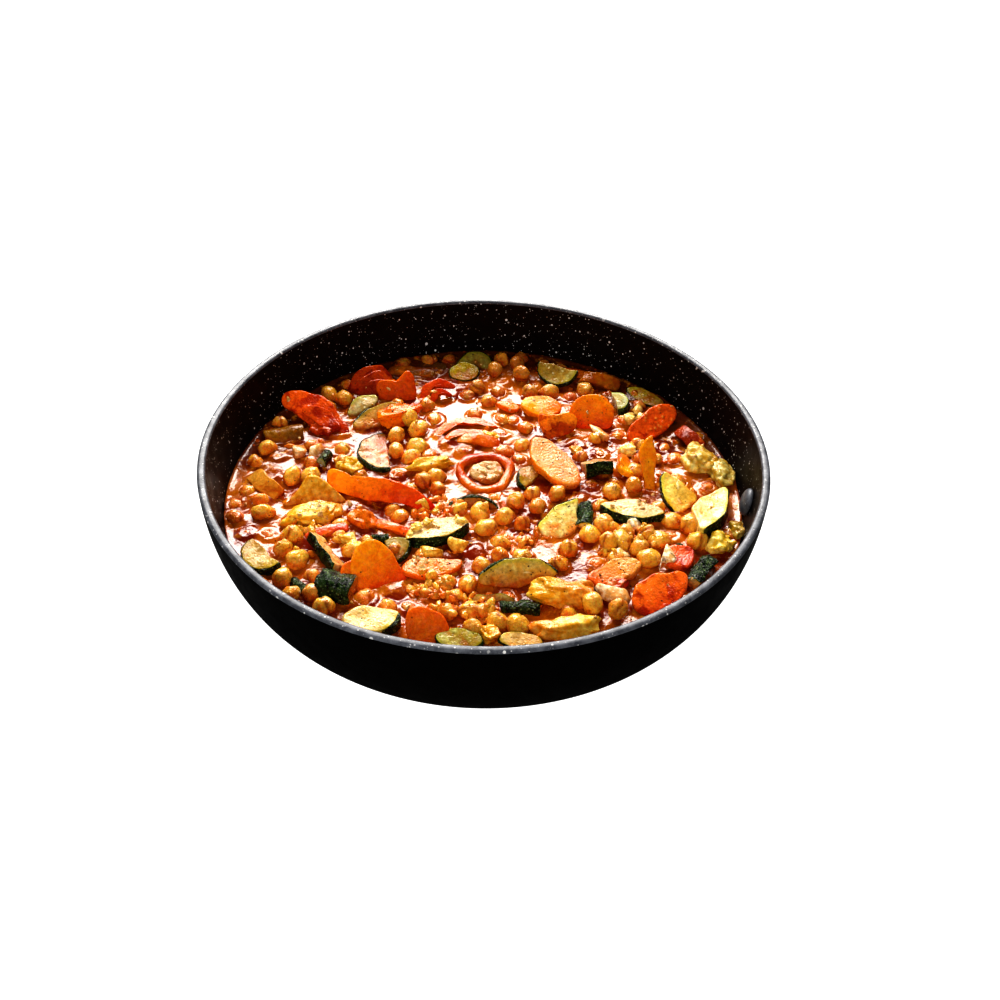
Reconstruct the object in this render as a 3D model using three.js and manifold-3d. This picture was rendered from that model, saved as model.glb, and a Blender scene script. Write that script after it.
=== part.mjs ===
// A deep, black, round pan of chickpea and vegetable stew.
// Millimetres, +Z up. The origin is the centre of the pan's underside.
import * as THREE from "three";
import { ConvexGeometry } from "three/addons/geometries/ConvexGeometry.js";
import { mergeVertices } from "three/addons/utils/BufferGeometryUtils.js";
import Module from "manifold-3d";

// ---- driving dimensions ----
const PAN_HEIGHT = 71;
const RIM_RADIUS = 140;
const BASE_RADIUS = 92;
const WALL_CURVE = 2.1; // superellipse power of the wall between base and rim
const FLOOR_THICKNESS = 5;
const LIP_WIDTH = 4;
const LIP_ROUNDING = 1.1;
const BASE_RECESS = 0.8;
const BASE_RECESS_RADIUS = 74;
const INNER_BASE_RADIUS = BASE_RADIUS - 2;
const BROTH_LEVEL = 39.6;
const CONTACT_GAP = 0.3; // between neighbours that touch in the real dish
const SLICE_STEP = 60; // degrees of a slice that two of its flat sides take
const POCKET_GAP = 0.5; // between a vegetable and the stew it lies in
const PAN_SEGMENTS = 56;
const WALL_STEPS = 6;

// One rivet head shows inside the wall; its shank runs through to a flat tail outside.
const RIVET_ANGLE = -7; // degrees round the rim from +X
const RIVET_DROP = 23; // below the rim
const RIVET_HEAD_RADIUS = 7;
const RIVET_HEAD_HEIGHT = 2.6;
const RIVET_SHANK_RADIUS = 2.5;
const RIVET_TAIL_RADIUS = 4.5;
const RIVET_TAIL_HEIGHT = 1.4;

// Chickpeas lie on a golden-angle spiral, nudged off it and thinned where the broth lies open.
const CHICKPEA_RADIUS = 4.9;
const CHICKPEA_SPACING = 6.6; // the spiral's radius grows by this times the root of the count
const CHICKPEA_REACH = 122;
const CHICKPEA_NUDGE = 2;
const CHICKPEA_HIDDEN = 0.05; // share of one that a vegetable may take before it is left out
const GOLDEN_ANGLE = Math.PI * (3 - Math.sqrt(5));

const COLOURS = {
  coating: 0x0b0b0c,
  rivet: 0x6d6f72,
  stew: 0xc4581c,
  courgette: 0xcfc46a,
  carrot: 0xf07a12,
  pepper: 0xdd4310,
  tomato: 0xc22f10,
  squash: 0xe3a01f,
};

const wasm = await Module();
wasm.setup();

const radians = THREE.MathUtils.degToRad;

// ---- passing between three.js and manifold-3d ----
function toSolid(geometry) {
  const bare = new THREE.BufferGeometry();
  bare.setAttribute("position", geometry.getAttribute("position").clone());
  if (geometry.index) bare.setIndex(geometry.index.clone());
  const merged = mergeVertices(bare, 1e-4);
  return new wasm.Manifold(
    new wasm.Mesh({
      numProp: 3,
      vertProperties: merged.getAttribute("position").array,
      triVerts: new Uint32Array(merged.index.array),
    }),
  );
}

function toGeometry(solid) {
  const mesh = solid.getMesh();
  const geometry = new THREE.BufferGeometry();
  geometry.setAttribute("position", new THREE.BufferAttribute(mesh.vertProperties, 3));
  geometry.setIndex(new THREE.BufferAttribute(mesh.triVerts, 1));
  geometry.computeVertexNormals();
  return geometry;
}

function material(name, roughness = 0.35, metalness = 0) {
  return new THREE.MeshStandardMaterial({ color: COLOURS[name], roughness, metalness });
}

function named(name, geometry, finish) {
  const mesh = new THREE.Mesh(geometry, finish);
  mesh.name = name;
  return mesh;
}

// A repeatable number from 0 to 1 for a whole number and a channel.
function scatter(index, channel) {
  const value = Math.sin(index * 12.9898 + channel * 78.233) * 43758.5453;
  return value - Math.floor(value);
}

// ---- the pan ----
// The wall's radius at a height, from its foot at (footRadius, foot) to the rim.
function wallRadius(z, footRadius, topRadius, foot) {
  const rise = (z - foot) / (PAN_HEIGHT - foot);
  const curve = 1 - Math.pow(1 - rise, WALL_CURVE);
  return footRadius + (topRadius - footRadius) * Math.pow(curve, 1 / WALL_CURVE);
}

const outerRadius = (z) => wallRadius(z, BASE_RADIUS, RIM_RADIUS, 0);
const innerRadius = (z) => wallRadius(z, INNER_BASE_RADIUS, RIM_RADIUS - LIP_WIDTH, FLOOR_THICKNESS);

// Heights from foot to top, closer together near the foot, where the wall bends most.
function wallHeights(foot, top, steps) {
  return Array.from({ length: steps + 1 }, (_, i) => foot + (top - foot) * Math.pow(i / steps, 1.8));
}

// Round lathes start at their underside's middle and run out, up, and back to the axis.
function turned(points, segments) {
  return new THREE.LatheGeometry(points, segments).rotateX(Math.PI / 2);
}

function panGeometry() {
  const lipTop = PAN_HEIGHT - LIP_ROUNDING;
  const inside = wallHeights(FLOOR_THICKNESS, lipTop, WALL_STEPS).reverse();
  const profile = [[0, BASE_RECESS]];
  profile.push([BASE_RECESS_RADIUS - BASE_RECESS, BASE_RECESS], [BASE_RECESS_RADIUS, 0]);
  for (const z of wallHeights(0, lipTop, WALL_STEPS)) profile.push([outerRadius(z), z]);
  profile.push([RIM_RADIUS - LIP_ROUNDING, PAN_HEIGHT]);
  profile.push([RIM_RADIUS - LIP_WIDTH + LIP_ROUNDING, PAN_HEIGHT]);
  for (const z of inside) profile.push([innerRadius(z), z]);
  profile.push([0, FLOOR_THICKNESS]);
  return turned(profile.map(([r, z]) => new THREE.Vector2(r, z)), PAN_SEGMENTS);
}

// Puts a shape made along +Z square on the inside of the wall at the rivet's place.
function onWall(geometry) {
  const height = PAN_HEIGHT - RIVET_DROP;
  const slope = Math.atan2(innerRadius(height + 5) - innerRadius(height - 5), 10);
  return geometry
    .rotateY(-Math.PI / 2 + slope)
    .translate(innerRadius(height), 0, height)
    .rotateZ(radians(RIVET_ANGLE));
}

function rivetBore() {
  const radius = RIVET_SHANK_RADIUS + CONTACT_GAP;
  return onWall(new THREE.CylinderGeometry(radius, radius, 30, 16).rotateX(Math.PI / 2));
}

function rivetGeometry() {
  const height = PAN_HEIGHT - RIVET_DROP;
  const wall = outerRadius(height) - innerRadius(height);
  const seat = 4 * CONTACT_GAP; // the wall curves up towards the edge of the flat-backed head
  const tail = -wall - CONTACT_GAP;
  const profile = [
    [0, tail - RIVET_TAIL_HEIGHT],
    [RIVET_TAIL_RADIUS, tail - RIVET_TAIL_HEIGHT],
    [RIVET_TAIL_RADIUS, tail],
    [RIVET_SHANK_RADIUS, tail],
    [RIVET_SHANK_RADIUS, seat],
    [RIVET_HEAD_RADIUS, seat],
  ];
  for (let i = 0; i <= 3; i++) {
    const turn = (i / 4) * (Math.PI / 2);
    profile.push([RIVET_HEAD_RADIUS * Math.cos(turn), seat + 0.6 + RIVET_HEAD_HEIGHT * Math.sin(turn)]);
  }
  profile.push([0, seat + 0.6 + RIVET_HEAD_HEIGHT]);
  return onWall(turned(profile.map(([r, z]) => new THREE.Vector2(r, z)), 16));
}

// ---- cut vegetables, each made flat round its own middle ----
// A slice across a round vegetable: sweep is 360 for a whole one and 180 for a half, which has
// its straight cut along X and its skin towards +Y.
function slice({ rx, ry = rx, thick, sweep = 360 }) {
  const shape = new THREE.Shape();
  shape.absellipse(0, 0, rx, ry, radians(90 - sweep / 2), radians(90 + sweep / 2), false, 0);
  const disc = new THREE.ExtrudeGeometry(shape, {
    depth: thick,
    bevelEnabled: false,
    curveSegments: sweep / SLICE_STEP,
  });
  return disc.center();
}

// A strip of fruit wall: long in X, wide in Y, arched up in the middle by its bend.
function strip({ length, width, thick, bend = 2 }, grow = 0) {
  const radius = (length * length) / (8 * bend) + bend / 2;
  const half = Math.asin(Math.min(1, length / 2 / radius)) + grow / radius;
  const shape = new THREE.Shape();
  shape.absarc(0, 0, radius + thick / 2 + grow, Math.PI / 2 + half, Math.PI / 2 - half, true);
  shape.absarc(0, 0, radius - thick / 2 - grow, Math.PI / 2 - half, Math.PI / 2 + half, false);
  const depth = width + 2 * grow;
  const band = new THREE.ExtrudeGeometry(shape, { depth, bevelEnabled: false, curveSegments: 3 });
  return band.rotateX(Math.PI / 2).translate(0, depth / 2, bend / 2 - radius);
}

// A length of vegetable with a round skin above and a flat cut below.
function baton({ length, width, thick }) {
  const shape = new THREE.Shape();
  shape.absellipse(0, 0, width / 2, thick, 0, Math.PI, false, 0);
  const bar = new THREE.ExtrudeGeometry(shape, { depth: length, bevelEnabled: false, curveSegments: 3 });
  return bar.rotateX(Math.PI / 2).rotateZ(Math.PI / 2).center();
}

// A ring cut across a hollow fruit.
function ring({ rx, ry = rx, wall, thick }, grow = 0) {
  const shape = new THREE.Shape();
  shape.absellipse(0, 0, rx + grow, ry + grow, 0, 2 * Math.PI, false, 0);
  const hole = new THREE.Path();
  hole.absellipse(0, 0, rx - wall - grow, ry - wall - grow, 0, 2 * Math.PI, true, 0);
  shape.holes.push(hole);
  const depth = thick + 2 * grow;
  const band = new THREE.ExtrudeGeometry(shape, { depth, bevelEnabled: false, curveSegments: 8 });
  return band.translate(0, 0, -depth / 2);
}

// A wedge of round fruit: skin on its back, which faces up, and an edge below.
function wedge({ length, width, thick }) {
  const points = [new THREE.Vector3(-length / 2, 0, 0), new THREE.Vector3(length / 2, 0, 0)];
  for (const along of [-0.72, -0.3, 0.3, 0.72]) {
    const girth = Math.sqrt(1 - along * along);
    const x = (along * length) / 2;
    points.push(new THREE.Vector3(x, 0, -0.35 * thick * girth));
    for (const across of [-1, -0.5, 0, 0.5, 1]) {
      const turn = across * radians(62);
      const y = ((width / 2) * girth * Math.sin(turn)) / Math.sin(radians(62));
      points.push(new THREE.Vector3(x, y, thick * girth * (Math.cos(turn) - 0.35)));
    }
  }
  return new ConvexGeometry(points).center();
}

// An uneven lump: a squared-off ball whose corners are pushed in or out by its own seed.
function chunk({ length, width, thick, seed }) {
  const points = [];
  const count = 18;
  for (let i = 0; i < count; i++) {
    const up = 1 - (2 * i + 1) / count;
    const turn = i * GOLDEN_ANGLE + seed;
    const out = Math.sqrt(1 - up * up);
    const direction = new THREE.Vector3(Math.cos(turn) * out, Math.sin(turn) * out, up);
    const squared = direction.toArray().map((v) => Math.sign(v) * Math.pow(Math.abs(v), 0.72));
    const push = 0.86 + 0.22 * scatter(i, seed);
    points.push(new THREE.Vector3(...squared).multiplyScalar(push));
  }
  const lump = new ConvexGeometry(points).center();
  lump.computeBoundingBox();
  const size = lump.boundingBox.getSize(new THREE.Vector3());
  return lump.scale(length / size.x, width / size.y, thick / size.z);
}

const MAKERS = { slice, strip, baton, ring, wedge, chunk };

// Each line: name, maker, its sizes, and its place: at [x, y] from the pan's middle, lift above
// the broth, lean about its own X axis (its far edge up), roll to tip its +X end up, and turn
// about the vertical. Angles are in degrees.
const VEGETABLES = [
  // back left
  ["tomato_1", "wedge", { length: 35, width: 17, thick: 11 },
    { at: [-96, 58], lift: 5.5, lean: 14, roll: -24, turn: -46 }],
  ["tomato_2", "wedge", { length: 30, width: 20, thick: 12 },
    { at: [-67, 92], lift: 4, lean: 25, turn: 14 }],
  ["pepper_1", "strip", { length: 23, width: 18, thick: 4.5, bend: 0.8 },
    { at: [-50.5, 83], lift: 6, lean: 60, turn: 4 }],
  ["courgette_1", "slice", { rx: 11, thick: 6, sweep: 180 },
    { at: [-72, 71], lift: 2.5, lean: 20, turn: 20 }],
  ["courgette_2", "slice", { rx: 11.5, thick: 5, sweep: 180 },
    { at: [-69.5, 52], lift: 2.5, lean: 34, turn: 28 }],
  ["tomato_3", "chunk", { length: 28, width: 11, thick: 11, seed: 3 },
    { at: [-47, 57], lift: 5, turn: 30 }],
  ["courgette_3", "slice", { rx: 16.5, thick: 6, sweep: 180 },
    { at: [-60, 28], lift: -0.5, lean: 4, turn: 100 }],
  ["pepper_2", "strip", { length: 57, width: 14, thick: 4.5, bend: 5 },
    { at: [-54, -7], lift: 4, lean: 40, turn: -20 }],
  ["squash_1", "chunk", { length: 21, width: 12, thick: 12, seed: 8 },
    { at: [-90.5, -7], lift: 2, turn: 14 }],
  ["courgette_4", "baton", { length: 19, width: 11, thick: 8 },
    { at: [-109, 43], lift: 1, turn: 14 }],
  ["pepper_3", "strip", { length: 24, width: 9, thick: 4, bend: 3 },
    { at: [-112, -1], lift: 2, lean: 25, turn: -46 }],
  // back middle
  ["courgette_5", "slice", { rx: 11.5, thick: 5, sweep: 180 },
    { at: [-7, 118], lift: 1.5, lean: 30, turn: 0 }],
  ["pepper_4", "strip", { length: 16, width: 7, thick: 3.5, bend: 7.5 },
    { at: [-28.5, 84.5], lift: 4, turn: 10 }],
  ["courgette_6", "slice", { rx: 10.5, thick: 6, sweep: 180 },
    { at: [40, 100], lift: 2.5, lean: -8, turn: 155 }],
  ["carrot_1", "slice", { rx: 11.5, ry: 8, thick: 4 },
    { at: [31, 69], lift: 3.5, lean: 6, turn: -8 }],
  ["carrot_2", "slice", { rx: 11, ry: 9.5, thick: 4 },
    { at: [58.5, 61.5], lift: 5.5, lean: 42, turn: -8 }],
  ["tomato_4", "wedge", { length: 20, width: 16, thick: 8 },
    { at: [38, 52], lift: 1, lean: 8, turn: -35 }],
  ["pepper_5", "strip", { length: 24, width: 8, thick: 4, bend: 2.5 },
    { at: [66, 97], lift: 3, lean: 30, turn: -24 }],
  ["courgette_7", "slice", { rx: 9, thick: 8, sweep: 180 },
    { at: [77, 75], lift: 2.5, lean: 6, turn: -80 }],
  ["tomato_5", "slice", { rx: 14.5, thick: 6, sweep: 180 },
    { at: [95, 53], lift: 4, lean: -22, turn: 212 }],
  ["tomato_6", "wedge", { length: 18, width: 10, thick: 8 },
    { at: [112, 46], lift: 1, lean: 0, turn: -62 }],
  // middle
  ["pepper_6", "ring", { rx: 15.5, ry: 15.5, wall: 4.5, thick: 7 },
    { at: [0, 12.5], lift: 0.5, lean: 6, turn: 12 }],
  ["courgette_8", "slice", { rx: 8, ry: 7, thick: 5 },
    { at: [1, 12.5], lift: 1, lean: 6 }],
  ["pepper_7", "strip", { length: 34, width: 7, thick: 4, bend: 5 },
    { at: [-11, 53], lift: 0, lean: 20, turn: 12 }],
  ["pepper_8", "strip", { length: 26, width: 6, thick: 3.5, bend: 3 },
    { at: [-4, 40], lift: 0.5, lean: 15, turn: -12 }],
  ["squash_2", "chunk", { length: 27, width: 8, thick: 8, seed: 11 },
    { at: [-29, 18], lift: 1.5, turn: 16 }],
  ["carrot_3", "slice", { rx: 11, ry: 19.5, thick: 4.5 },
    { at: [35.5, 17.5], lift: 5, lean: 12, turn: 32 }],
  ["courgette_9", "slice", { rx: 7, thick: 6, sweep: 180 },
    { at: [19.4, 9.5], lift: 0.5, lean: 8, turn: 76 }],
  ["courgette_10", "baton", { length: 13, width: 11, thick: 8 },
    { at: [59, 15], lift: 3, lean: 20, turn: 20 }],
  ["pepper_9", "strip", { length: 18, width: 8, thick: 4, bend: 2 },
    { at: [73, 17], lift: 3, lean: 12, turn: 100 }],
  ["carrot_4", "slice", { rx: 4, ry: 23, thick: 4, sweep: 180 },
    { at: [85, 7], lift: 4, lean: 45, turn: -2 }],
  // right
  ["squash_3", "chunk", { length: 17, width: 20, thick: 11, seed: 14 },
    { at: [113, 25], lift: 2.5, turn: 20 }],
  ["courgette_11", "slice", { rx: 15, thick: 6, sweep: 180 },
    { at: [98, 0], lift: 3.5, lean: 20, turn: 72 }],
  ["courgette_12", "slice", { rx: 16.5, thick: 8, sweep: 180 },
    { at: [118, -17], lift: 3.5, lean: -12, turn: -125 }],
  ["courgette_13", "slice", { rx: 17, thick: 6.5, sweep: 180 },
    { at: [74.5, -18], lift: 3.5, lean: -12, turn: 178 }],
  ["courgette_14", "slice", { rx: 13, thick: 6, sweep: 180 },
    { at: [38, -23], lift: 2.5, lean: 14, turn: -80 }],
  ["courgette_15", "baton", { length: 16, width: 8, thick: 6 },
    { at: [51, -22], lift: 3.5, lean: 0, turn: 84 }],
  ["squash_4", "chunk", { length: 15, width: 12, thick: 10, seed: 29 },
    { at: [115, -41], lift: 2, turn: 20 }],
  // left
  ["squash_5", "chunk", { length: 27, width: 14, thick: 12, seed: 17 },
    { at: [-80, -25], lift: 2, turn: 12 }],
  ["tomato_7", "chunk", { length: 16, width: 12, thick: 10, seed: 20 },
    { at: [-57, -27], lift: 2, turn: -28 }],
  ["courgette_16", "slice", { rx: 16, thick: 4, sweep: 180 },
    { at: [-5, -14], lift: -1, lean: 62, turn: -4 }],
  ["courgette_17", "slice", { rx: 18, thick: 6, sweep: 180 },
    { at: [-23, -33.5], lift: 3, lean: -12, turn: 190 }],
  ["courgette_18", "baton", { length: 26, width: 8, thick: 6 },
    { at: [-75, -54], lift: 3.5, lean: 24, turn: -50 }],
  ["courgette_19", "baton", { length: 16, width: 13, thick: 11 },
    { at: [-67.5, -77], lift: 3, lean: 32, turn: -14 }],
  ["carrot_5", "slice", { rx: 12, ry: 13.5, thick: 4.5 },
    { at: [-47, -65], lift: 5, lean: 42, turn: 24 }],
  ["courgette_20", "slice", { rx: 13.5, thick: 7, sweep: 180 },
    { at: [-46, -95], lift: 2.5, lean: -6, turn: -150 }],
  ["courgette_21", "slice", { rx: 12, thick: 7, sweep: 180 },
    { at: [-107, -58], lift: 1.5, lean: -8, turn: 130 }],
  // front
  ["carrot_6", "slice", { rx: 12.5, ry: 7.5, thick: 3.5 },
    { at: [-22, -61], lift: 2.5, lean: 10, turn: 6 }],
  ["carrot_7", "slice", { rx: 10.5, ry: 9.5, thick: 4 },
    { at: [-23, -102], lift: 4.5, lean: 42, turn: 24 }],
  ["courgette_22", "slice", { rx: 19.5, thick: 6, sweep: 180 },
    { at: [16, -65], lift: 4, lean: 46, turn: 4 }],
  ["courgette_23", "baton", { length: 19, width: 8, thick: 6 },
    { at: [17, -86.5], lift: 2, lean: 30, turn: 2 }],
  ["squash_6", "chunk", { length: 25, width: 15, thick: 13, seed: 23 },
    { at: [40.5, -79], lift: 3, turn: -8 }],
  ["squash_7", "chunk", { length: 33, width: 12, thick: 11, seed: 26 },
    { at: [37, -99], lift: 2.5, turn: 6 }],
  ["carrot_8", "slice", { rx: 14, ry: 9, thick: 4 },
    { at: [62, -62], lift: 4, lean: 20, turn: 14 }],
  ["tomato_8", "wedge", { length: 31, width: 23, thick: 13 },
    { at: [81, -77], lift: 2.5, lean: 16, turn: 30 }],
  ["tomato_9", "wedge", { length: 14, width: 11, thick: 9 },
    { at: [94, -52.5], lift: 2, lean: 10, turn: 80 }],
  ["courgette_24", "baton", { length: 20, width: 9, thick: 7 },
    { at: [102, -61], lift: 3, lean: 10, turn: 58 }],
];

const slot = (name) => name.replace(/_\d+$/, "");

// Turns and shifts a flat-made piece to its place in the dish.
function place(object, { at, lift, lean = 0, turn = 0, roll = 0 }) {
  object.position.set(at[0], at[1], BROTH_LEVEL + lift);
  object.rotation.set(radians(lean), -radians(roll), radians(turn), "ZXY");
  object.updateMatrix();
  return object;
}

// The room a vegetable takes in the stew: the same shape, larger all round by the gap.
function pocket(maker, sizes, spot) {
  let shape = MAKERS[maker](sizes, POCKET_GAP);
  if (maker !== "strip" && maker !== "ring") {
    shape.computeBoundingBox();
    const size = shape.boundingBox.getSize(new THREE.Vector3());
    shape = shape.scale(...size.toArray().map((side) => (side + 2 * POCKET_GAP) / side));
  }
  return toSolid(shape.applyMatrix4(place(new THREE.Object3D(), spot).matrix));
}

// ---- the stew: broth up to its level, with the chickpeas that stand out of it ----
function chickpeaSpots() {
  const spots = [];
  for (let i = 1; ; i++) {
    const radius = CHICKPEA_SPACING * Math.sqrt(i);
    if (radius > CHICKPEA_REACH) return spots;
    const turn = i * GOLDEN_ANGLE;
    const x = radius * Math.cos(turn) + CHICKPEA_NUDGE * (2 * scatter(i, 1) - 1);
    const y = radius * Math.sin(turn) + CHICKPEA_NUDGE * (2 * scatter(i, 2) - 1);
    const patch = Math.sin(x * 0.061 + 1.3) + Math.cos(y * 0.053 - 0.4) + Math.sin((x - y) * 0.037);
    const keep = y < 0 ? 0.62 : 0.36;
    if (scatter(i, 3) < keep + 0.14 * patch) spots.push({ x, y, rise: 2.6 * scatter(i, 4) - 1.2 });
  }
}

// The broth's profile follows the pan's inside, a little in from it and up from it.
function brothProfile() {
  const points = [[0, FLOOR_THICKNESS + POCKET_GAP]];
  let [lastRadius, lastHeight] = [0, 0];
  for (const z of wallHeights(FLOOR_THICKNESS, PAN_HEIGHT - LIP_ROUNDING, WALL_STEPS)) {
    const [radius, height] = [innerRadius(z) - POCKET_GAP, z + POCKET_GAP];
    if (height > BROTH_LEVEL) {
      const share = (BROTH_LEVEL - lastHeight) / (height - lastHeight);
      points.push([lastRadius + (radius - lastRadius) * share, BROTH_LEVEL], [0, BROTH_LEVEL]);
      return points;
    }
    points.push([radius, height]);
    [lastRadius, lastHeight] = [radius, height];
  }
  return points;
}

function stewGeometry(pockets) {
  let stew = toSolid(turned(brothProfile().map(([r, z]) => new THREE.Vector2(r, z)), PAN_SEGMENTS));
  const taken = pockets.reduce((all, room) => all.add(room));
  for (const { x, y, rise } of chickpeaSpots()) {
    const ball = new THREE.IcosahedronGeometry(CHICKPEA_RADIUS, 0);
    const pea = toSolid(ball.translate(x, y, BROTH_LEVEL + rise));
    if (pea.intersect(taken).volume() < CHICKPEA_HIDDEN * pea.volume()) stew = stew.add(pea);
  }
  const bodies = stew.subtract(taken).decompose();
  bodies.sort((one, other) => other.volume() - one.volume());
  return toGeometry(bodies[0]);
}

// ---- the whole dish ----
const dish = new THREE.Group();
const bored = toSolid(panGeometry()).subtract(toSolid(rivetBore()));
dish.add(named("pan", toGeometry(bored), material("coating", 0.45, 0.1)));
dish.add(named("rivet", rivetGeometry(), material("rivet", 0.35, 0.6)));
const pockets = VEGETABLES.map(([, maker, sizes, spot]) => pocket(maker, sizes, spot));
dish.add(named("stew", stewGeometry(pockets), material("stew", 0.15)));
for (const [name, maker, sizes, spot] of VEGETABLES) {
  dish.add(place(named(name, MAKERS[maker](sizes), material(slot(name))), spot));
}

export default dish;
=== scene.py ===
"""A black speckled pan of chickpea and vegetable stew, dressed over its CAD solids."""
import math
import random

import bmesh
import bpy
import numpy as np
from mathutils import Matrix, Vector, noise
from mathutils.bvhtree import BVHTree


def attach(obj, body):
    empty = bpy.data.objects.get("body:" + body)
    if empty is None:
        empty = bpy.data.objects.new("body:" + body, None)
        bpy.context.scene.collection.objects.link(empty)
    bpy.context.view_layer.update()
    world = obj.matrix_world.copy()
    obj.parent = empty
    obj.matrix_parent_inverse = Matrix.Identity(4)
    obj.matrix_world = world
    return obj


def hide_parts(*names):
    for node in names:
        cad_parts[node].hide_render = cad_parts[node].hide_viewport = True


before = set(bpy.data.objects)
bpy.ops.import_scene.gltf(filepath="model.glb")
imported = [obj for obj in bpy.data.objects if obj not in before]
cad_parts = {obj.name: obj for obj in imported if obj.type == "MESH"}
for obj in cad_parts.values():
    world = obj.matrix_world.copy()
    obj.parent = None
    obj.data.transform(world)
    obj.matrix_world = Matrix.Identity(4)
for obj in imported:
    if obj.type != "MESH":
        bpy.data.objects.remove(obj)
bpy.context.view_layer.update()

MM = 0.001  # every size below is in millimetres, and meshes are made in metres

# ---- sizes, the same as the solids' ----
PAN_HEIGHT = 71
RIM_RADIUS = 140
BASE_RADIUS = 92
WALL_CURVE = 2.1
FLOOR_THICKNESS = 5
LIP_WIDTH = 4
LIP_ROUNDING = 1.4
BASE_RECESS = 0.8
BASE_RECESS_RADIUS = 74
INNER_BASE_RADIUS = 90
BROTH_LEVEL = 39.6
RIVET_ANGLE = -7
RIVET_DROP = 23
RIVET_HEAD_RADIUS = 7
RIVET_HEAD_HEIGHT = 2.6
RIVET_SHANK_RADIUS = 2.5
RIVET_TAIL_RADIUS = 4.5
RIVET_TAIL_HEIGHT = 1.4


# ---- node helpers ----
class Value:
    """What a node puts out. Adding or multiplying values adds a math node to their tree."""

    def __init__(self, socket):
        self.socket = socket

    def __add__(self, other):
        return calc("ADD", self, other)

    def __sub__(self, other):
        return calc("SUBTRACT", self, other)

    def __mul__(self, other):
        return calc("MULTIPLY", self, other)

    def __truediv__(self, other):
        return calc("DIVIDE", self, other)

    def __rtruediv__(self, other):
        return calc("DIVIDE", other, self)


def link(value, socket):
    socket.id_data.links.new(value.socket, socket)


def outputs(item):
    """A node's outputs as values, found by their number or by their name."""
    return {key: Value(socket) for n, socket in enumerate(item.outputs) for key in (n, socket.name)}


def add(kind, settings=None, tree=None, **inputs):
    """Add a node, set its options, link or set its inputs by name, and return its outputs.

    The inputs i0, i1 and so on are found by number. The tree is the one its inputs are in.
    """
    tree = tree or next(value.socket.id_data for value in inputs.values() if isinstance(value, Value))
    item = tree.nodes.new(kind)
    for key, value in (settings or {}).items():
        setattr(item, key, value)
    for key, value in inputs.items():
        by_number = key[0] == "i" and key[1:].isdigit()
        socket = item.inputs[int(key[1:]) if by_number else key.replace("_", " ")]
        if isinstance(value, Value):
            link(value, socket)
        else:
            socket.default_value = value
    return outputs(item)


def paint(red, green, blue):
    """A colour given as everyday 0-255 values, as the shaders want it."""
    shares = [value / 255 for value in (red, green, blue)]
    return (*[v / 12.92 if v <= 10 / 255 else ((v + 0.055) / 1.055) ** 2.4 for v in shares], 1.0)


def calc(operation, first, second):
    return add("ShaderNodeMath", {"operation": operation}, i0=first, i1=second)[0]


def mix(factor, first, second, blend="MIX"):
    settings = {"data_type": "RGBA", "blend_type": blend}
    return add("ShaderNodeMix", settings, i0=factor, i6=first, i7=second)[2]


def mix_value(factor, first, second):
    return add("ShaderNodeMix", {"data_type": "FLOAT"}, i0=factor, i2=first, i3=second)[0]


def toned(colour, red, green, blue):
    """A colour seen through a tone."""
    return mix(1.0, colour, paint(red, green, blue), "MULTIPLY")


def rise(value, low, high, start=0.0, end=1.0):
    """A soft step of value from low to high, put out as start to end."""
    settings = {"interpolation_type": "SMOOTHSTEP"}
    return add("ShaderNodeMapRange", settings, i0=value, i1=low, i2=high, i3=start, i4=end)[0]


def fall(value, low, high):
    """A soft step from 1 down to 0."""
    return rise(value, low, high, 1.0, 0.0)


def clouds(place, grain, detail=2.0, roughness=0.5, warp=0.0):
    """Noise whose lumps are about grain millimetres across, from about 0.3 to 0.7."""
    size = {"Scale": 1000 / grain, "Detail": detail, "Roughness": roughness, "Distortion": warp}
    return add("ShaderNodeTexNoise", Vector=place, **size)["Fac"]


def cells(place, grain, feature="F1"):
    """Voronoi cells about grain millimetres across."""
    return add("ShaderNodeTexVoronoi", {"feature": feature}, Vector=place, Scale=1000 / grain)


def chances(dots):
    """Three random numbers for each cell."""
    return add("ShaderNodeSeparateColor", Color=dots["Color"])


def creases(*cloud):
    """Noise that is 0 along thin winding lines, for skins that wrinkle."""
    return calc("ABSOLUTE", clouds(*cloud) - 0.5, 0.0)


def here(tree):
    return add("ShaderNodeTexCoord", tree=tree)["Object"]


def axis(place, number):
    return add("ShaderNodeSeparateXYZ", Vector=place)[number]


def new_group(name, takes, gives, kind="ShaderNodeTree"):
    """An empty node group with named sockets; returns its tree, its inputs and its output node."""
    tree = bpy.data.node_groups.new(name, kind)
    for label, socket_type, *value in takes:
        socket = tree.interface.new_socket(label, in_out="INPUT", socket_type=socket_type)
        if value:
            socket.default_value = value[0]
    for label, socket_type in gives:
        tree.interface.new_socket(label, in_out="OUTPUT", socket_type=socket_type)
    return tree, outputs(tree.nodes.new("NodeGroupInput")), tree.nodes.new("NodeGroupOutput").inputs


FLOAT, COLOUR, GEOMETRY = "NodeSocketFloat", "NodeSocketColor", "NodeSocketGeometry"


# ---- shared effects ----
def speckle_group():
    """Scattered pale flecks of a stone-look coating."""
    takes = [("Grain mm", FLOAT, 5.0), ("Largest", FLOAT, 0.2), ("Share", FLOAT, 0.4)]
    tree, takes, gives = new_group("coating_flecks", takes, [("Mask", FLOAT)])
    dots = cells(here(tree), takes["Grain mm"])
    chance = chances(dots)
    reach = takes["Largest"] * calc("POWER", chance[0], 1.6)
    inside = rise(reach - dots["Distance"], 0.0, 0.03)
    kept = calc("LESS_THAN", chance[1], takes["Share"])
    link(inside * kept * (chance[2] * 0.65 + 0.35), gives["Mask"])
    return tree


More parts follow.
